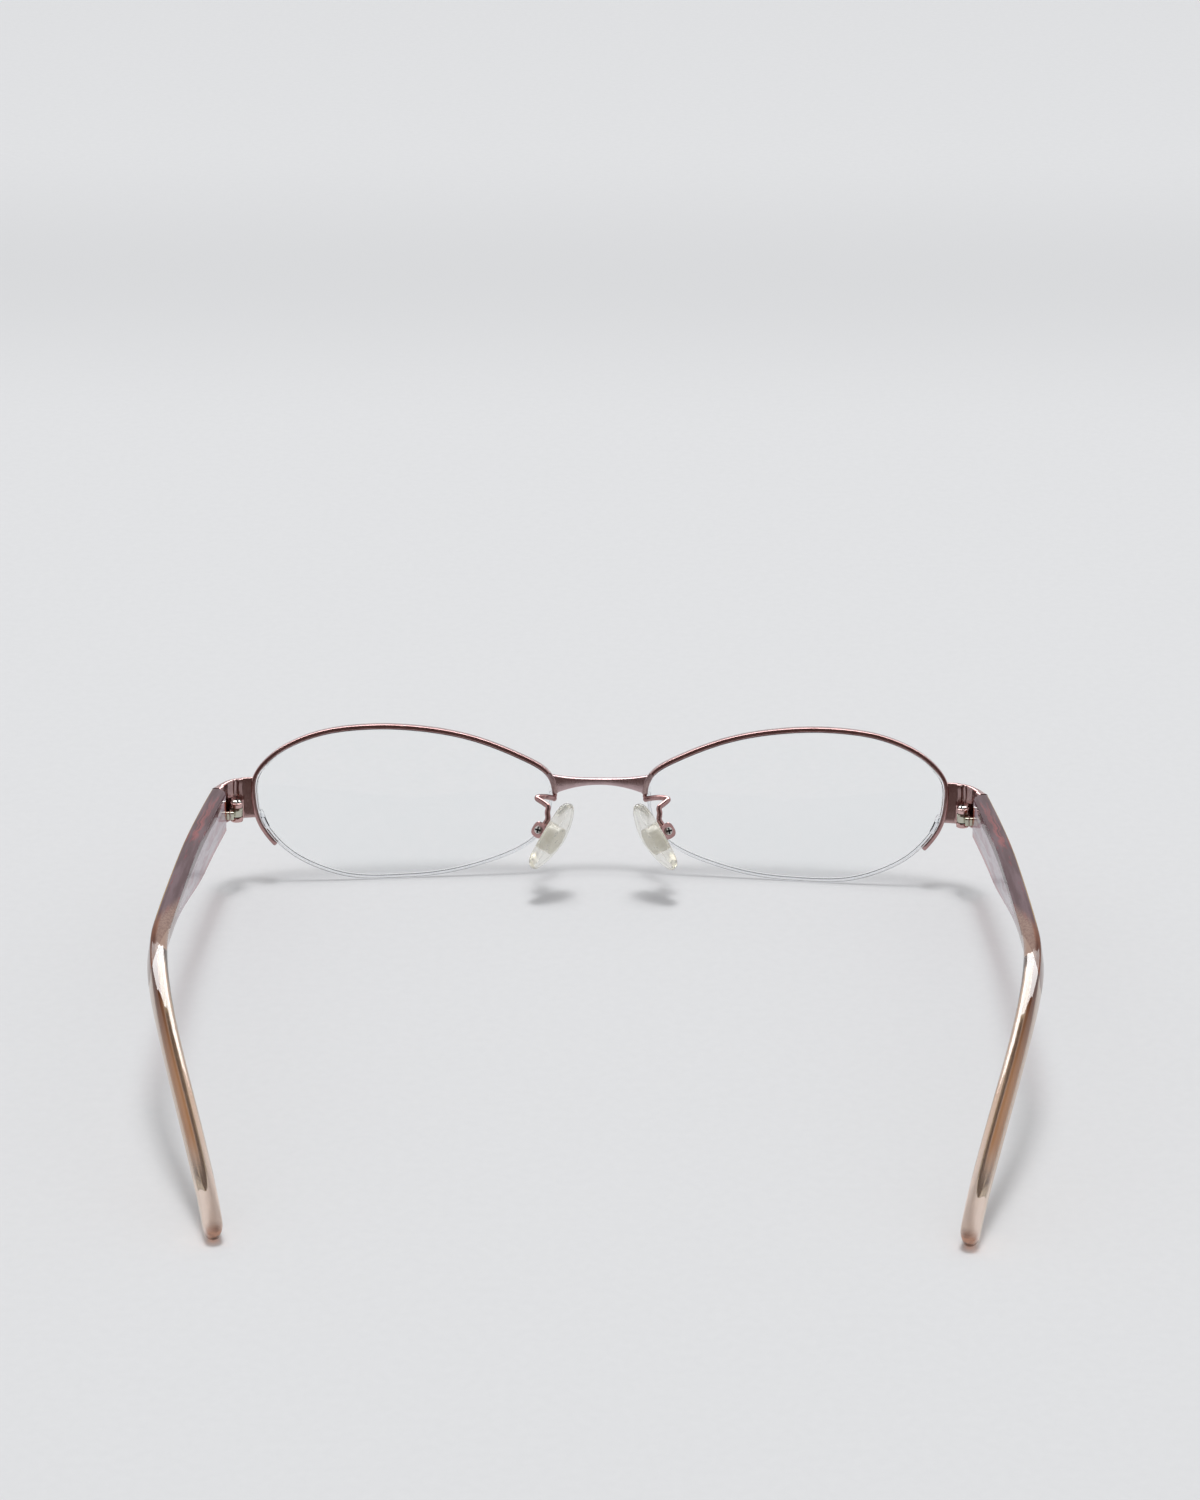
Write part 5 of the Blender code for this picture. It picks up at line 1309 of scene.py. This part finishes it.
def makePadBox(half):
    place = insertMatrix(half[2])
    longHalf, wall, soft = padBox["length"] / 2, padBox["wall"], padBox["rounding"]
    low, high = boxMouth, boxEnd
    middle = Vector((0, (low + high) / 2))
    corners = ((-longHalf, low), (longHalf, low), (longHalf, high), (-longHalf, high))
    cheek = roundedCorners(corners, (soft,) * 4, steps=8)
    inner, outer = boxHalfWidth - wall, boxHalfWidth
    steps = (
        (0.95, inner), (1.0, inner + 0.00008), (1.0, outer - 0.00016), (0.975, outer - 0.00006), (0.92, outer),
    )
    bm = bmesh.new()
    for sign in (-1, 1):
        # two round cheeks
        rings = []
        for size, offset in steps:
            spots = [middle + (spot - middle) * size for spot in cheek]
            rings.append([place @ Vector((sign * offset, y, z)) for y, z in spots])
        sweep(bm, rings)
    # the layer between them, open towards the pad
    wide, reach, foot, top = longHalf - 0.00014, longHalf - wall, low + 0.0004, high - 0.00014
    layer = (
        (-wide, foot), (-reach, foot), (-reach, boxInsideEnd), (reach, boxInsideEnd), (reach, foot), (wide, foot),
        (wide, top), (-wide, top),
    )
    spots = roundedCorners(layer, (0,) * 6 + (soft * 0.9,) * 2, steps=8)
    thick = boxHalfWidth - wall + 0.0001
    sweep(bm, [[place @ Vector((x, y, z)) for y, z in spots] for x in (-thick, thick)])
    finishPiece(bm, "padBox", half)


def makePadScrew(half):
    shank, head = padScrew["diameter"] / 2, padScrew["head"] / 2
    seat, rise = -boxHalfWidth - padScrew["seatGap"], padScrew["headHeight"]
    profile = [(shank * 0.8, boxHalfWidth), (shank, boxHalfWidth - shank * 0.2), (shank, seat)]
    profile += [(head * out, seat - rise * up) for out, up in padScrew["dome"]]
    thing = finishPiece(turned(bmesh.new(), lugTurn(half[2]), profile, 40), "padScrew", half)
    # a cross recess in the head, its walls painted black as shade
    wide, thin = head * 0.8, padScrew["recess"]
    for angle in padScrew["recessTurns"]:
        turn = Matrix.Rotation(math.radians(angle), 4, "Z")
        place = Matrix.Translation(originShift) @ lugTurn(half[2]) @ turn
        bar = addBlock(bmesh.new(), place, (-wide, -thin, seat - rise * 1.5), (wide, thin, seat - rise * 0.2))
        hollowOut(thing, bar)


def makeArm(half):
    side = half[2]
    behind = -rim["depth"] / 2 - arm["diameter"] / 2
    foot = edgePoint(1, outlinePlace(rim["nasalEnd"], False), rim["clearance"] + rim["thickness"] / 2, behind)
    topEnd = Vector((0, padBox["length"] / 2 - 0.00005, (boxMouth + boxEnd) / 2))
    over = Vector((0, padBox["length"] / 2 + arm["diameter"], topEnd.z))
    bent = Vector((side * arm["bent"], 0, 0))
    last = len(arm["route"]) - 2
    points = [foot] + [foot + Vector(step) for step in arm["route"]]
    points = [point + bent * min(i / last, 1) for i, point in enumerate(points)]
    points += [across(side, insertMatrix(side) @ spot) for spot in (over, topEnd)]
    route = [across(side, point) for point in evenPoints(smoothPath(points, 24), 90)]
    radii = [arm["diameter"] / 2 * size for size in arm["footSizes"]]
    radii += [arm["diameter"] / 2] * (len(route) - len(radii))
    finishPiece(sweep(bmesh.new(), tubeRings(route, radii, 24)), "padArm", half)


for half in halves:
    for make in (makePad, makeInsert, makePadBox, makePadScrew, makeArm):
        make(half)
print("nose pads made")


# Floor, lamps and world

studio = {
    "floor": "#e4e5e7", "fleck": "#e2e3e5", "fleckSize": 0.0016, "fade": (0.85, 1.6),
    # the darker band far back is painted shade where the paper would turn up into a backdrop
    "band": "#dbdcde", "bandPlace": 0.405, "bandWidth": 0.12,
    # a broad lamp for the soft shadows and a narrow one for their crisper middles: watts, sizes and place
    "lamps": {"broadLamp": (24.0, 1.0, 1.1, (0, 0.36, 2.9)), "narrowLamp": (16.5, 0.44, 0.40, (0, 0.26, 2.9))},
    "world": 0.50, "background": "#e4e4e6",
    # flat cards that glow with their own colour, lit by no lamp, and that only reflections see: painted reflections of
    # a dark room and a bright patch ahead; colour, strength, and their middles and sizes in metres
    "cards": {
        "darkCards": ("glowingBrownCard", "#665753", 1, (
            ((0, -0.95, 1.0), (2.8, 0, 2.0)), ((0, 0.06, 2.0), (2.8, 2.02, 0)), ((0, -0.60, 0.002), (2.8, 0.70, 0)),
        )),
        "whiteCards": ("glowingWhiteCard", "#ffffff", 8.0, (((0, 1.25, 1.575), (2.6, 0, 1.45)),)),
    },
}


def floorMaterial(values):
    # matt paper, calendered: pale cool grey with hardly visible flecks, and one slightly darker band far back, painted
    # shade where the paper would turn up into a backdrop
    material, tree, shader = startMaterial("mattPaper")
    place = addNode(tree, "TexCoord").outputs["Object"]
    along = addNode(tree, "SeparateXYZ", {"Vector": place}).outputs["Y"]
    off = addNode(tree, "Math", (along, values["bandPlace"]), **minus)
    away = addNode(tree, "Math", (off, 0), operation="ABSOLUTE")
    band = addNode(tree, "MapRange", (away, 0, values["bandWidth"], 1, 0), **smooth)
    flecks = speckle(tree, place, values["fleckSize"])
    setInputs(tree, shader, {
        "Base Color": layTones(tree, values["floor"], (flecks, values["fleck"]), (band, values["band"])),
        "Roughness": 0.9, "Specular IOR Level": 0.1,
    })
    # far off the paper fades into the pale room, so that no horizon shows
    far = addNode(tree, "VectorMath", {0: place}, operation="LENGTH")
    fade = addNode(tree, "MapRange", (far, *values["fade"]), **smooth)
    mix = addNode(tree, "MixShader", (fade, shader, addNode(tree, "BsdfTransparent")))
    setInputs(tree, tree.nodes["Material Output"], {"Surface": mix})
    return material


def makeFloor(values):
    bm = bmesh.new()
    bmesh.ops.create_grid(bm, x_segments=8, y_segments=8, size=4)
    return addObject("paperFloor", meshFrom(bm, "paperFloor", floorMaterial(values)))


def makeCard(name, stuff, colour, strength, places):
    # glowing dark cards stand behind and above, and a glowing white one ahead, as the metal shows them: painted
    # reflections that no lamp lights
    material, tree, shader = startMaterial(stuff)
    setInputs(tree, shader, {
        "Base Color": "#000000", "Specular IOR Level": 0, "Emission Color": colour, "Emission Strength": strength,
    })
    bm = bmesh.new()
    for middle, size in places:
        grid = bmesh.ops.create_grid(bm, x_segments=4, y_segments=4, size=0.5)["verts"]
        turn = Matrix.Rotation(math.radians(90), 4, "X") if size[2] else Matrix()
        stretch = Matrix.Diagonal((size[0], size[2] or size[1], 1, 1))
        bmesh.ops.transform(bm, verts=grid, matrix=Matrix.Translation(middle) @ turn @ stretch)
    card = addObject(name, meshFrom(bm, name, material))
    card.visible_camera = False
    card.visible_diffuse = False
    card.visible_shadow = False
    # the lens's edge and the cord would bend the view up to the white card, and show it as a white line
    card.visible_transmission = name == "darkCards"
    return card


def makeLamp(name, watts, width, depth, place):
    data = bpy.data.lights.new(name, "AREA")
    data.shape = "RECTANGLE"
    data.size, data.size_y, data.energy = width, depth, watts
    lamp = addObject(name, data)
    lamp.location = place
    lamp.rotation_euler = (-math.atan2(place[1], place[2]), 0, 0)


def makeWorld(values):
    world = bpy.data.worlds.new("paleRoom")
    bpy.context.scene.world = world
    world.use_nodes = True
    tree = world.node_tree
    room = tree.nodes["Background"]
    setInputs(tree, room, {"Color": "#ffffff", "Strength": values["world"]})
    # looked at straight, in a reflection or through a clear piece, the room is as pale as the floor
    path = addNode(tree, "LightPath").outputs
    seen = path["Is Camera Ray"]
    for ray in ("Is Glossy Ray", "Is Transmission Ray"):
        seen = addNode(tree, "Math", (seen, path[ray]), operation="MAXIMUM")
    pale = addNode(tree, "Background", {"Color": values["background"], "Strength": 1})
    setInputs(tree, tree.nodes["World Output"], {"Surface": addNode(tree, "MixShader", (seen, room, pale))})


makeFloor(studio)
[makeCard(name, *card) for name, card in studio["cards"].items()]
for name, lamp in studio["lamps"].items():
    makeLamp(name, *lamp)
makeWorld(studio)
bpy.context.scene.view_settings.view_transform = "Standard"
print("floor, lamps and world set")
